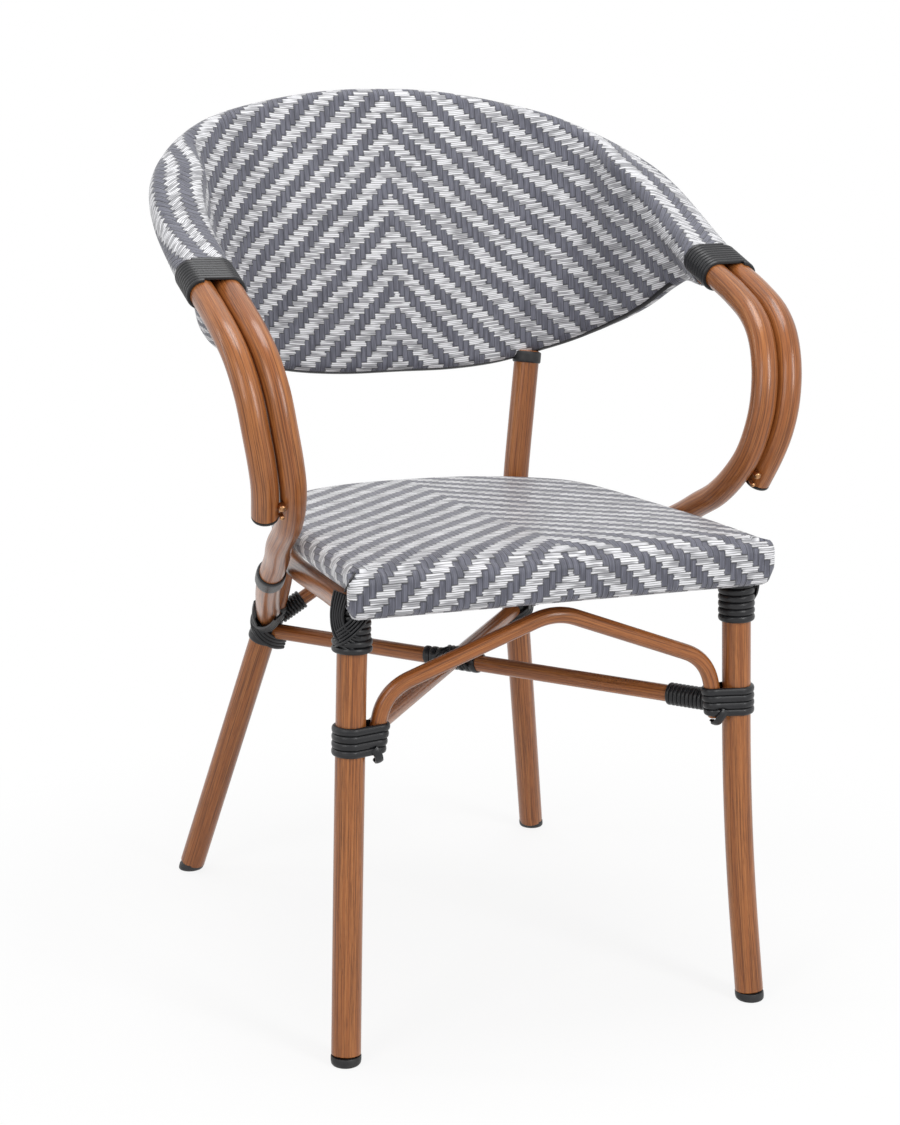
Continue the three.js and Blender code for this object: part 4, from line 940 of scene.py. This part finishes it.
# Sling seat
seatNet = {"sideStations": 240, "sideSteps": 16, "sideTurn": math.radians(240), "frontStations": 90,
           "quarterSteps": 6, "dropSteps": 3, "frontTurn": math.radians(210), "rings": 60, "sag": -2,
           "overhang": 3, "cornerRound": 3.0, "return": 4.8, "apexDown": 14.0, "lowCorner": 10.0,
           "forward": 8.3, "waySpan": 3.0, "crownPower": 4, "crease": 60}

# Height of the cloth over its base: (y, fall at the front edge, crown in the middle)
seatCrown = np.array([(-289, -4.5, 0), (-288, -2.9, 0.4), (-285.5, -1.4, 1), (-281, -0.4, 1.7),
                      (-272, 0, 3.1), (-251, 0, 4.9), (-225, 0, 4.6), (-183, 0, 4), (-140, 0, 2.2),
                      (-105, 0, 1), (-60, 0, 0)])
seatRimZ = seatFrame["tubeZ"] + seatFrame["tilt"] + seatR + cloth["gap"]


def sideColumn(place):
    inTube = min(max(place, 0.0), seatRoute.length)
    way = seatRoute.way(inTube, seatNet["waySpan"])
    centre = seatRoute.at(inTube) + way * (place - inTube)
    outside = -unit([way[1], -way[0], 0])
    points, normals, runs = [], [], []
    for angle in np.linspace(0, seatNet["sideTurn"], seatNet["sideSteps"] + 1):
        normal = outside * math.sin(angle) + np.array([0, 0, 1.0]) * math.cos(angle)
        points.append(centre + normal * (seatR + cloth["gap"]))
        normals.append(normal)
        runs.append(angle * (seatR + cloth["gap"]))
    base = np.array([centre[0], -centre[1]])
    flat = np.array([outside[0], -outside[1]])
    maps = [np.array([*(base + flat * run), 0]) for run in runs]
    return points, normals, maps


# Outline of the apron from one end to the other: straight, then a small round corner and a short return
def frontColumn(place):
    half = railHalf + seatNet["overhang"]
    straight = half - seatNet["cornerRound"]
    side = np.sign(place) if place else 1.0
    beyond = abs(place) - straight
    if beyond <= 0:
        shift, back, turn = abs(place), 0.0, 0.0
    else:
        turn = min(beyond / seatNet["cornerRound"], math.pi / 2)
        shift = straight + seatNet["cornerRound"] * math.sin(turn)
        back = seatNet["cornerRound"] * (1 - math.cos(turn))
        back += max(0.0, beyond - seatNet["cornerRound"] * math.pi / 2)
    radius = seatFrame["railThickness"] / 2 + cloth["gap"]
    flat = (seatFrame["railHeight"] - seatFrame["railThickness"]) / 2
    lowCorner = seatNet["lowCorner"]
    inCorner = min(1.0, max(0.0, (abs(place) - half + lowCorner) / lowCorner))
    cornerLift = lowCorner * (1 - math.sqrt(1 - inCorner * inCorner))
    points, normals, maps = [], [], []
    quarter, drops = seatNet["quarterSteps"], seatNet["dropSteps"]
    angles = list(np.linspace(0, math.pi / 2, quarter + 1))
    angles += [math.pi / 2] * drops
    angles += list(np.linspace(math.pi / 2, seatNet["frontTurn"], quarter + 2))[1:]
    run, before = 0.0, None
    for index, angle in enumerate(angles):
        drop = 0.0 if index <= quarter else min(index - quarter, drops) / drops
        ahead, lift = math.sin(angle), math.cos(angle)
        point = np.array([side * shift, seatFrame["railY"] - radius * ahead,
                          seatFrame["railZ"] + mix(flat, -flat, drop) + radius * lift])
        if before is not None:
            run += np.linalg.norm(point - before)
        before = point.copy()
        point[1] += back * max(0.0, ahead)
        point[2] += cornerLift * drop
        normal = np.array([side * math.sin(turn) * ahead, -ahead * math.cos(turn), lift])
        points.append(point)
        normals.append(unit(normal))
        maps.append(np.array([place, -seatFrame["railY"] + run - cornerLift * drop, 0]))
    return points, normals, maps


def makeSeatCloth():
    sidePlaces = np.linspace(-seatNet["forward"], seatRoute.length + seatNet["forward"],
                             seatNet["sideStations"])
    half = railHalf + seatNet["overhang"] + seatNet["return"]
    frontPlaces = np.linspace(half, -half, 2 * (seatNet["frontStations"] // 2) + 1)
    columns = [sideColumn(p) for p in sidePlaces]
    fronts = [frontColumn(p) for p in frontPlaces]
    points, normals, maps, faces = [], [], [], []

    def addPoint(point, normal, where):
        points.append(point)
        normals.append(normal)
        maps.append(where)
        return len(points) - 1

    side = [[addPoint(*item) for item in zip(*column)] for column in columns]
    front = [[addPoint(*item) for item in zip(*column)] for column in fronts]
    lastX = seatFrame["sideX"]
    inner = [c for c, p in zip(front, frontPlaces) if abs(p) < lastX]
    rim = [c[0] for c in side] + [c[0] for c in inner]
    middle = np.array([0, mix(seatFrame["railY"], seatFrame["rearY"], 0.5),
                       seatFrame["tubeZ"] + seatR + tubeSizes["gap"] - seatNet["sag"]])
    up = np.array([0, 0, 1.0])
    centre = addPoint(middle, up, np.array([0, -middle[1], 0]))
    rings = [[centre] * len(rim)]
    for r in range(1, seatNet["rings"]):
        share = r / seatNet["rings"]
        ring = []
        for number, index in enumerate(rim):
            edge, edgeMap = points[index].copy(), maps[index]
            if number >= len(side):
                edge[2] = seatRimZ
            point = np.array([mix(middle[0], edge[0], share), mix(middle[1], edge[1], share),
                              mix(middle[2], edge[2], share * share)])
            aside = min(1.0, abs(point[0]) / seatFrame["sideX"])
            fall, crown = (np.interp(point[1], seatCrown[:, 0], seatCrown[:, k]) for k in (1, 2))
            point[2] += fall + crown * (1 - aside ** seatNet["crownPower"])
            ring.append(addPoint(point, up, mix(maps[centre], edgeMap, share)))
        rings.append(ring)
    rings.append(rim)
    for i in range(len(rim)):
        k = (i + 1) % len(rim)
        faces.append((centre, rings[1][i], rings[1][k]))
        for r in range(1, seatNet["rings"]):
            faces.append((rings[r][i], rings[r + 1][i], rings[r + 1][k], rings[r][k]))
    for group, corner in ((front[:front.index(inner[0]) + 1], side[-1][0]),
                          (front[front.index(inner[-1]):], side[0][0])):
        for a, b in zip(group, group[1:]):
            faces.append((corner, a[0], b[0]))
    for edge in (side, front):
        for a, b in zip(edge, edge[1:]):
            for j in range(len(a) - 1):
                faces.append((a[j], a[j + 1], b[j + 1], b[j]))
    points, normals, maps = np.array(points), np.array(normals), np.array(maps)
    outer = points + normals * cloth["thickness"]
    skin, allFaces = closedSheet(points, outer, faces)
    allMaps = np.concatenate([maps, maps])
    allMaps[:, 1] -= -seatFrame["railY"] + seatNet["apexDown"]
    obj = makePiece("sling_seat", skin, allFaces, seatWeave, ["seat_cloth"], allMaps,
                    crease=seatNet["crease"])


makeSeatCloth()
print("seat built")


# Strips: flat below and rounded above, along centres whose normals point away from what the strip lies on
stripShape = {"across": 7, "loopAcross": 9, "power": 0.55, "apart": 311.0}


class StripSet:
    def __init__(self):
        self.points, self.faces, self.place, self.count = [], [], [], 0

    # Lays the cross-sections of one strip and tells at which number its points begin
    def lay(self, centres, normals, ways, width, thickness, across):
        sides = unit(np.cross(ways, normals))
        angles = np.linspace(0, math.pi, across)
        offsets = -np.cos(angles) * width / 2
        lifts = thickness * np.sin(angles) ** stripShape["power"]
        lifts[0] = lifts[-1] = 0
        rings = (centres[:, None] + sides[:, None] * offsets[None, :, None]
                 + normals[:, None] * lifts[None, :, None])
        runs = np.concatenate([[0], np.cumsum(np.linalg.norm(np.diff(centres, axis=0), axis=1))])
        place = np.stack(np.broadcast_arrays(runs[:, None], offsets[None], lifts[None]), axis=-1)
        self.points.append(rings.reshape(-1, 3))
        self.place.append(place.reshape(-1, 3) + np.array([stripShape["apart"] * len(self.points), 0, 0]))
        first = self.count
        self.count += len(centres) * across
        return first

    # A strip with two ends
    def add(self, centres, normals, width, thickness):
        centres, normals = np.array(centres), np.array(normals)
        ways = unit(np.gradient(centres, axis=0))
        across = stripShape["across"]
        first = self.lay(centres, normals, ways, width, thickness, across)
        self.faces += [tuple(reversed(f)) for f in skinFaces(len(centres), across, first)]

    # A strip that closes on itself
    def addLoop(self, centres, normals, width, thickness):
        centres, normals = np.array(centres), np.array(normals)
        ways = unit(np.roll(centres, -1, axis=0) - np.roll(centres, 1, axis=0))
        across = stripShape["loopAcross"]
        first = self.lay(centres, normals, ways, width, thickness, across)
        self.faces += [tuple(reversed(f)) for f in loopFaces(len(centres), across, first)]

    def finish(self, name, nodes, mirror=False):
        return makePiece(name, np.concatenate(self.points), self.faces, blackStrip, nodes,
                         np.concatenate(self.place), mirror)


# A core is the straight stretch of tube under a binding
def coreBetween(route, axis, low, high, radius, first=0.0, last=1.0):
    start, end = (route.pointWhere(axis, value, first, last) for value in (low, high))
    return {"start": start, "end": end, "radius": radius}


def partOf(core, low, high):
    return dict(core, start=mix(core["start"], core["end"], low), end=mix(core["start"], core["end"], high))


def coreFrame(cores, facing):
    axis = cores[0]["end"] - cores[0]["start"]
    length = np.linalg.norm(axis)
    axis = axis / length
    toward = cores[1]["start"] - cores[0]["start"] if len(cores) > 1 else np.array(facing, float)
    toward = unit(toward - axis * np.dot(toward, axis))
    return {"axis": axis, "length": length, "toward": toward, "beside": np.cross(axis, toward)}


# Stops round one core or a pair: the weight toward the second core, and the angle of the normal
def coreOutline(cores, step=1.6):
    radius = cores[0]["radius"]
    if len(cores) == 1:
        count = int(2 * math.pi * radius / step)
        return [(0.0, 2 * math.pi * i / count) for i in range(count)]
    apart = np.linalg.norm(cores[1]["start"] - cores[0]["start"])
    half = max(6, int(math.pi * radius / step))
    flat = max(4, int(apart / step))
    stops = [(0.0, math.pi / 2 + math.pi * i / half) for i in range(half)]
    stops += [(i / flat, 3 * math.pi / 2) for i in range(flat)]
    stops += [(1.0, -math.pi / 2 + math.pi * i / half) for i in range(half)]
    stops += [(1 - i / flat, math.pi / 2) for i in range(flat)]
    return stops


def onCore(cores, plan, height, weight, angle, lift):
    share = height / plan["length"]
    first = mix(cores[0]["start"], cores[0]["end"], share)
    second = mix(cores[-1]["start"], cores[-1]["end"], share)
    radius = mix(cores[0]["radius"], cores[-1]["radius"], weight)
    normal = plan["toward"] * math.cos(angle) + plan["beside"] * math.sin(angle)
    return mix(first, second, weight) + normal * (radius + lift), normal


# One strip that winds up a core from end to end
def wind(strips, cores, turns, thickness, facing, fill=1.0, lift=0.15):
    plan = coreFrame(cores, facing)
    stops = coreOutline(cores)
    pitch = plan["length"] / (turns + 1)
    centres, normals = [], []
    for k in range(int(turns * len(stops)) + 1):
        weight, angle = stops[k % len(stops)]
        height = pitch / 2 + pitch * k / len(stops)
        centre, normal = onCore(cores, plan, height, weight, angle, lift)
        centres.append(centre)
        normals.append(normal)
    strips.add(centres, normals, pitch * fill, thickness)


# Level turns, each a closed ring
def ringUp(strips, cores, turns, thickness, facing=(1, 0, 0), overlap=1.04, lift=0.2):
    plan = coreFrame(cores, facing)
    pitch = plan["length"] / turns
    for k in range(turns):
        height = pitch * (k + 0.5)
        ring = [onCore(cores, plan, height, weight, angle, lift) for weight, angle in coreOutline(cores)]
        strips.addLoop([c for c, n in ring], [n for c, n in ring], pitch * overlap, thickness)


# Strands side by side that cross over a core; each stop is (height, angle in degrees, lift)
def strap(strips, core, facing, stops, strands, width, thickness, spread=1.0, steps=12):
    plan = coreFrame([core], facing)
    centres, normals = [], []
    for height, angle, lift in smoothRoute(stops, steps).points:
        centre, normal = onCore([core], plan, height, 0.0, math.radians(angle), lift)
        centres.append(centre)
        normals.append(normal)
    centres, normals = np.array(centres), np.array(normals)
    sides = unit(np.cross(unit(np.gradient(centres, axis=0)), normals))
    for i in range(strands):
        offset = (i - (strands - 1) / 2) * width * spread
        strips.add(centres + sides * offset, normals, width, thickness)


# A dark strip along the underside of the back's lower edge: painted shade where that underside lies in shadow
paintedShadeStrip = {"reach": 0.88, "steps": 160, "turn": math.radians(-76), "sink": 0.3, "width": 5.0, "thickness": 1.1}


def makePaintedShadeStrip():
    centres, normals = [], []
    for share in np.linspace(-paintedShadeStrip["reach"], paintedShadeStrip["reach"], paintedShadeStrip["steps"]):
        station = rimStation(share)
        rise = unit(station["upper"] - station["lower"])
        normal = around(station["lowerWay"], rise, paintedShadeStrip["turn"])
        centres.append(station["lower"] + normal * (clothR(lowerR) - paintedShadeStrip["sink"]))
        normals.append(normal)
    strips = StripSet()
    strips.add(centres, normals, paintedShadeStrip["width"], paintedShadeStrip["thickness"])
    strips.finish("painted_shade_lower", [])


# A black strip where the apron's left end meets the seat's side: painted shade standing for the shadowed slit
# between them
slitShade = {"line": [(196.6, -290.4, 455.2), (199.6, -293.4, 452.8), (202.5, -295.9, 450.2),
                 (204.8, -290.6, 442.3), (205.8, -288.4, 438.4)],
        "steps": 6, "facing": [0.31, -0.93, 0.21], "width": 2.0, "thickness": 2.8}


def makeSlitShade():
    line = smoothRoute(slitShade["line"], slitShade["steps"]).points
    normals = np.repeat(unit(slitShade["facing"])[None], len(line), axis=0)
    strips = StripSet()
    strips.add(line, normals, slitShade["width"], slitShade["thickness"])
    strips.finish("painted_shade_slit_left", [], True)


armBand = {"turns": 9, "thickness": 2.7, "fill": 0.96, "lift": 0.5}


def makeArmBands():
    setback = unit(bandRear - bandFront) * tubeSizes["gap"]
    cores = [{"start": bandFront + shift, "end": bandRear + shift - setback, "radius": armR}
             for shift in (np.zeros(3), pairShift)]
    for side in bothSides:
        strips = StripSet()
        wind(strips, cores, facing=(1, 0, 0), **armBand)
        strips.finish(f"binding_arm_{side}", [f"arm_band_{side}"], side == "left")


# Level turns are (from, to, count, thickness), where from and to are shares of the length
topBinding = {
    "length": 54, "drop": 6, "raised": {"right": 2, "left": 6},
    "turns": {"right": [(0, 1, 8, 3.5)], "left": [(0, 0.26, 2, 4.6), (0.24, 1.08, 7, 3.0)]},
    "straps": {
        "right": [{"strands": 4, "width": 2.6, "thickness": 2.2, "spread": 1.1,
                   "stops": [(54, 82, 4.0), (46, 80, 5.2), (37, 78, 5.6), (28, 84, 4.6), (20, 100, 2.6)]}],
        "left": [{"strands": 6, "width": 2.5, "thickness": 2.6, "spread": 1.12,
                  "stops": [(55, 56, 2.4), (46, 62, 3.4), (36, 66, 4.0), (26, 60, 4.2), (17, 44, 3.4),
                            (12, 24, 1.8), (9, 4, 0.4)]},
                 {"strands": 5, "width": 2.5, "thickness": 2.4, "spread": 1.12,
                  "stops": [(9, 100, 0.2), (12, 78, 2.4), (17, 48, 4.6), (27, 15, 5.4), (38, -12, 5.4),
                            (44, -38, 6.5), (47, -58, 10), (47, -72, 15)]}],
    },
}


def makeFrontTopBindings():
    high = frontHead[2] - clothR(seatR) - topBinding["drop"]
    for side in bothSides:
        core = coreBetween(frontLeg, 2, high - topBinding["length"] + topBinding["raised"][side], high, legR)
        strips = StripSet()
        for low, top, turns, thickness in topBinding["turns"][side]:
            ringUp(strips, [partOf(core, low, top)], turns, thickness)
        for bundle in topBinding["straps"][side]:
            strap(strips, core, (0, -1, 0), **bundle)
        strips.finish(f"binding_front_top_{side}", [f"front_leg_top_binding_{side}"], side == "left")


# The belt holds the bow's foot to the leg; its tail's stops are (height, weight, lift)
belt = {"above": 2, "length": 29, "turns": 4, "thickness": 3.2, "tailWidth": 8.0, "tailThickness": 2.4,
        "tail": [(6, 0.8, 2.4), (3, 0.92, 4.0), (-1, 1.05, 3.8), (-5, 1.15, 2.0), (-7, 1.2, -1.5),
                 (-7, 1.2, -6.0)],
        "tailSteps": 6, "bowShare": 0.25}
beltLow, beltHigh = braceFrame["bowFootZ"], braceFrame["bowFootZ"] + belt["length"]


def makeBelts():
    low = beltLow + belt["above"]
    cores = [coreBetween(frontLeg, 2, low, beltHigh, legR),
             coreBetween(frontBow, 2, low, beltHigh, bowR, 0, belt["bowShare"])]
    plan = coreFrame(cores, (1, 0, 0))
    tail = [onCore(cores, plan, height, weight, math.pi / 2, lift) for height, weight, lift in belt["tail"]]
    line = smoothRoute([centre for centre, normal in tail], belt["tailSteps"]).points
    ways = unit(np.gradient(line, axis=0))
    facing = tail[0][1]
    normals = unit(facing - ways * np.sum(ways * facing, axis=1)[:, None])
    for side in bothSides:
        strips = StripSet()
        ringUp(strips, cores, belt["turns"], belt["thickness"])
        strips.add(line, normals, belt["tailWidth"], belt["tailThickness"])
        strips.finish(f"binding_front_low_{side}", [f"front_leg_low_binding_{side}"], side == "left")


# Two straps cross where the inner arm meets the rear leg; crossed holds (which way it turns, raised by)
rearBinding = {
    "low": 284, "length": 42, "turns": 6, "thickness": 2.2,
    "strap": {"strands": 4, "width": 3.6, "thickness": 1.9,
              "stops": [(33, 112, 2.6), (26, 84, 3.4), (18, 48, 3.8), (11, 8, 4.0), (6, -34, 4.6),
                        (4, -58, 7), (3, -72, 10)]},
    "armFrom": 6, "armTo": 62, "armFacing": (0.8, -0.33, -0.53), "crossed": [(1, 0.0), (-1, 0.9)],
    "crossStops": [(50, 88, 0.6), (38, 72, 1.4), (24, 50, 2.2), (11, 22, 2.8), (0, -8, 3.4), (-8, -38, 3.6)],
    "crossStrands": {"strands": 4, "width": 3.2, "thickness": 2.2},
}


def makeRearBindings():
    core = coreBetween(rearLeg, 2, rearBinding["low"], rearBinding["low"] + rearBinding["length"], legR)
    armCore = {"start": innerArm.at(innerArm.length - rearBinding["armFrom"]),
               "end": innerArm.at(innerArm.length - rearBinding["armTo"]), "radius": armR}
    for side in bothSides:
        strips = StripSet()
        ringUp(strips, [core], rearBinding["turns"], rearBinding["thickness"], (0, 1, 0))
        strap(strips, core, (0, -1, 0), **rearBinding["strap"])
        for turned, raised in rearBinding["crossed"]:
            stops = [(height, angle * turned, lift + raised)
                     for height, angle, lift in rearBinding["crossStops"]]
            strap(strips, armCore, rearBinding["armFacing"], stops, **rearBinding["crossStrands"])
        strips.finish(f"binding_rear_{side}", [f"rear_leg_binding_{side}"], side == "left")


crossingBinding = {
    "length": 68, "turns": 8, "thickness": 1.9, "strands": {"strands": 3, "width": 3.6, "thickness": 1.7},
    "crossed": [[(16, 120, 1.8), (24, 60, 2.6), (34, 0, 3.2), (44, -60, 2.6), (52, -120, 1.8)],
                [(52, 120, 1.8), (44, 60, 3.0), (34, 0, 4.2), (24, -60, 3.0), (16, -120, 1.8)]],
}


def makeCrossing():
    half = crossingBinding["length"] / 2
    core = {"start": crossing - throughWay * half, "end": crossing + throughWay * half, "radius": braceR}
    strips = StripSet()
    wind(strips, [core], crossingBinding["turns"], crossingBinding["thickness"], (0, 0, 1))
    for stops in crossingBinding["crossed"]:
        strap(strips, core, (0, 0, 1), stops, **crossingBinding["strands"])
    strips.finish("binding_crossing", ["crossing_binding"])


# The winding on the stretcher begins where the bow's belt leaves it free
stretcherWrap = {"length": 50, "turns": 12, "thickness": 2.5, "wall": 2.2, "beltWall": 1.7, "clearance": 0.5}


def makeStretcherWrap():
    foot = coreBetween(frontBow, 2, beltLow, beltHigh, bowR, 0, belt["bowShare"])
    toBow = (foot["start"] + foot["end"]) / 2 - braceFront
    behind = -np.dot(toBow, throughWay)
    beside = math.sqrt(np.dot(toBow, toBow) - behind * behind)
    needed = braceR + stretcherWrap["wall"] + bowR + stretcherWrap["beltWall"] + stretcherWrap["clearance"]
    begin = braceFront - throughWay * (behind + math.sqrt(max(0, needed ** 2 - beside ** 2)))
    core = {"start": begin, "end": begin - throughWay * stretcherWrap["length"], "radius": braceR}
    strips = StripSet()
    ringUp(strips, [core], stretcherWrap["turns"], stretcherWrap["thickness"], (0, 0, 1))
    strips.finish("binding_stretcher", ["stretcher_wrap"])


bowWrap = {"fromLeg": 2.3, "length": 30, "turns": 8, "thickness": 2.8}


def makeBowWraps():
    start = legR + bowWrap["fromLeg"]
    core = {"start": rearBow.at(start), "end": rearBow.at(start + bowWrap["length"]), "radius": bowR}
    for side in bothSides:
        strips = StripSet()
        ringUp(strips, [core], bowWrap["turns"], bowWrap["thickness"], (0, 0, 1))
        strips.finish(f"binding_bow_{side}", [f"rear_bow_wrap_{side}"], side == "left")


# Sleeves with rounded lips
sleeveShape = {"shares": [0, 0.04, 0.12, 0.3, 0.5, 0.7, 0.88, 0.96, 1],
               "rises": [0.25, 0.75, 0.97, 1, 1, 1, 0.97, 0.75, 0.25], "sides": 40, "play": 0.15}
armStrap = {"middleY": 0, "length": 30, "wall": 2.2}
legCollar = {"length": 13, "wall": 1.6, "fromTop": 1}


def makeSleeve(name, route, low, high, radius, wall, material, nodeName):
    places = np.array([mix(low, high, share) for share in sleeveShape["shares"]])
    angles = np.linspace(0, 2 * math.pi, sleeveShape["sides"], endpoint=False)
    centres, ways = route.at(places), route.way(places)
    sides = carriedSides(ways, np.array([0.0, 0, 1]))
    others = np.cross(ways, sides)
    outside = [(i, wall * rise) for i, rise in enumerate(sleeveShape["rises"])]
    inside = [(i, 0) for i in reversed(range(len(places)))]
    rings = []
    for i, lift in outside + inside:
        circle = np.cos(angles)[:, None] * sides[i] + np.sin(angles)[:, None] * others[i]
        rings.append(centres[i] + circle * (radius + sleeveShape["play"] + lift))
    points = np.concatenate(rings)
    for side in bothSides:
        makePiece(f"{name}_{side}", points, loopFaces(len(rings), len(angles)), material,
                  [f"{nodeName}_{side}"], points, side == "left")


# This strip is painted shade under the back's lower edge
makePaintedShadeStrip()
# This strip is painted shade in the apron's slit
makeSlitShade()
makeArmBands()
makeFrontTopBindings()
makeBelts()
makeRearBindings()
makeCrossing()
makeStretcherWrap()
makeBowWraps()
strapMiddle = innerArm.where(1, armStrap["middleY"], 0.5, 1)
strapHalf = armStrap["length"] / 2
makeSleeve("strap_arm", innerArm, strapMiddle - strapHalf, strapMiddle + strapHalf, armR, armStrap["wall"],
           blackStrip, "arm_strap")
makeSleeve("collar", rearLeg, rearTop - legCollar["length"], rearTop - legCollar["fromTop"], legR,
           legCollar["wall"], blackPlastic, "leg_top_collar")
print("bindings wound")

# Plugs, studs and screws of the arms; a dome's angles are in degrees
armPlug = {"rim": [(0.99, 0.2), (1, 0.8), (1, 1.6)], "domeFrom": 1.8, "domeHeight": 3.4,
           "domeAngles": (15, 30, 45, 60, 75, 88)}
studs = {"fromEnd": 17, "screwFromEnd": 6, "diameter": 7, "screwDiameter": 4.6, "root": 6, "rootShare": 0.9,
         "proud": 1.2, "edgeDepth": 2.2, "domeHeight": 2.0, "domeAngles": (10, 30, 50, 70, 86), "sides": 28}


def latheRings(profile, base, way):
    side = unit(np.cross(way, [0.3, 0.2, 0.9]))
    other = np.cross(way, side)
    angles = np.linspace(0, 2 * math.pi, studs["sides"], endpoint=False)
    circle = np.cos(angles)[:, None] * side + np.sin(angles)[:, None] * other
    return np.concatenate([base + way * height + circle * radius for radius, height in profile])


def dome(radius, base, height, angles):
    return [(radius * math.cos(a), base + height * math.sin(a)) for a in np.radians(angles)]


def makeArmEnds():
    plug = [(armR * share, height) for share, height in armPlug["rim"]]
    plug += dome(armR, armPlug["domeFrom"], armPlug["domeHeight"], armPlug["domeAngles"])
    plugPoints = latheRings(plug, outerArm.at(outerArm.length), outerArm.way(outerArm.length))
    items = [("plug_arm", plugPoints, len(plug), blackPlastic, "black_plastic", "arm_end_plug")]
    for name, fromEnd, size, nodeName, slotName in (
            ("stud_arm", studs["fromEnd"], studs["diameter"], "arm_stud", "cane_tube"),
            ("screw_arm", studs["screwFromEnd"], studs["screwDiameter"], "arm_screw", "black_plastic")):
        place = outerArm.length - fromEnd
        centre = outerArm.at(place) + pairShift / 2
        outward = unit(np.cross(pairShift, outerArm.way(place)))
        radius = size / 2
        top = armR + studs["proud"]
        profile = [(radius * studs["rootShare"], studs["root"]), (radius, top - studs["edgeDepth"])]
        profile += dome(radius, top - studs["domeHeight"], studs["domeHeight"], studs["domeAngles"])
        points = latheRings(profile, centre, outward)
        items.append((name, points, len(profile), studMetal, slotName, nodeName))
    for name, points, count, material, slotName, nodeName in items:
        for side in bothSides:
            makePiece(f"{name}_{side}", points, skinFaces(count, studs["sides"]), material,
                      [f"{nodeName}_{side}"], points, side == "left")


makeArmEnds()
print("arm ends built")

# Floor, backdrop and light; lengths here are metres
studio = {"floor": (0.88, 0.88, 0.88, 1), "roughness": 0.9, "world": 0.44, "halfSize": 12.0,
          "near": 0.3, "far": 0.8, "nearWhite": 0.86}
lamps = {
    "softFrontRight": {"place": (0.9, -2.3, 1.75), "aim": (0, 0, 0.55), "size": (0.6, 1.5), "power": 32},
    "stripBackLeft": {"place": (-2.0, 0.9, 1.2), "aim": (0, 0, 0.6), "size": (0.2, 1.5), "power": 5},
    "softFrontLeft": {"place": (-2.0, -1.5, 1.7), "aim": (0, 0, 0.5), "size": (0.8, 1.3), "power": 15},
    "softTop": {"place": (0.0, 0.0, 2.7), "aim": (0, 0, 0.4), "size": (1.2, 1.2), "power": 29},
}


# White where the camera, a reflection or a clear piece sees the background
def seenRays(tree):
    light = node(tree, "ShaderNodeLightPath")
    return calc(tree, "MAXIMUM", light.outputs["Is Camera Ray"],
                calc(tree, "MAXIMUM", light.outputs["Is Glossy Ray"], light.outputs["Is Transmission Ray"]))


def makeStage():
    mesh = bpy.data.meshes.new("floor")
    half = studio["halfSize"]
    corners = [(-half, -half, 0), (half, -half, 0), (half, half, 0), (-half, half, 0)]
    mesh.from_pydata(corners, [], [(0, 1, 2, 3)])
    material = bpy.data.materials.new("floorPaper")
    material.use_nodes = True
    tree = material.node_tree
    shader = tree.nodes["Principled BSDF"]
    shader.inputs["Base Color"].default_value = studio["floor"]
    shader.inputs["Roughness"].default_value = studio["roughness"]
    shader.inputs["Specular IOR Level"].default_value = 0.0
    glow = node(tree, "ShaderNodeEmission")
    glow.inputs["Color"].default_value = (1, 1, 1, 1)

    # The shadow near the chair is a little stronger than farther off
    away = node(tree, "ShaderNodeVectorMath", operation="LENGTH")
    feed(tree, away.inputs[0], node(tree, "ShaderNodeTexCoord").outputs["Object"])
    white = calc(tree, "ADD", studio["nearWhite"],
                 calc(tree, "MULTIPLY", ramp(tree, away.outputs["Value"], studio["near"], studio["far"]),
                      1 - studio["nearWhite"]))
    blend = node(tree, "ShaderNodeMixShader")
    tree.links.new(calc(tree, "MULTIPLY", seenRays(tree), white), blend.inputs[0])
    tree.links.new(shader.outputs[0], blend.inputs[1])
    tree.links.new(glow.outputs[0], blend.inputs[2])
    tree.links.new(blend.outputs[0], tree.nodes["Material Output"].inputs["Surface"])
    mesh.materials.append(material)
    floor = bpy.data.objects.new("floor", mesh)
    scene.collection.objects.link(floor)


def makeWorld():
    world = bpy.data.worlds.new("studio")
    scene.world = world
    world.use_nodes = True
    tree = world.node_tree
    background = tree.nodes["Background"]
    background.inputs["Color"].default_value = (1, 1, 1, 1)
    tree.links.new(calc(tree, "MAXIMUM", seenRays(tree), studio["world"]), background.inputs["Strength"])


def areaLight(name, place, aim, size, power):
    data = bpy.data.lights.new(name, "AREA")
    data.shape = "RECTANGLE"
    data.size, data.size_y = size
    data.energy = power
    obj = bpy.data.objects.new(name, data)
    scene.collection.objects.link(obj)
    obj.location = place
    direction = Vector(aim) - Vector(place)
    obj.rotation_euler = direction.to_track_quat("-Z", "Y").to_euler()


makeStage()
makeWorld()
for lampName, lamp in lamps.items():
    areaLight(lampName, **lamp)
scene.view_settings.view_transform = "Standard"
print("stage lit")
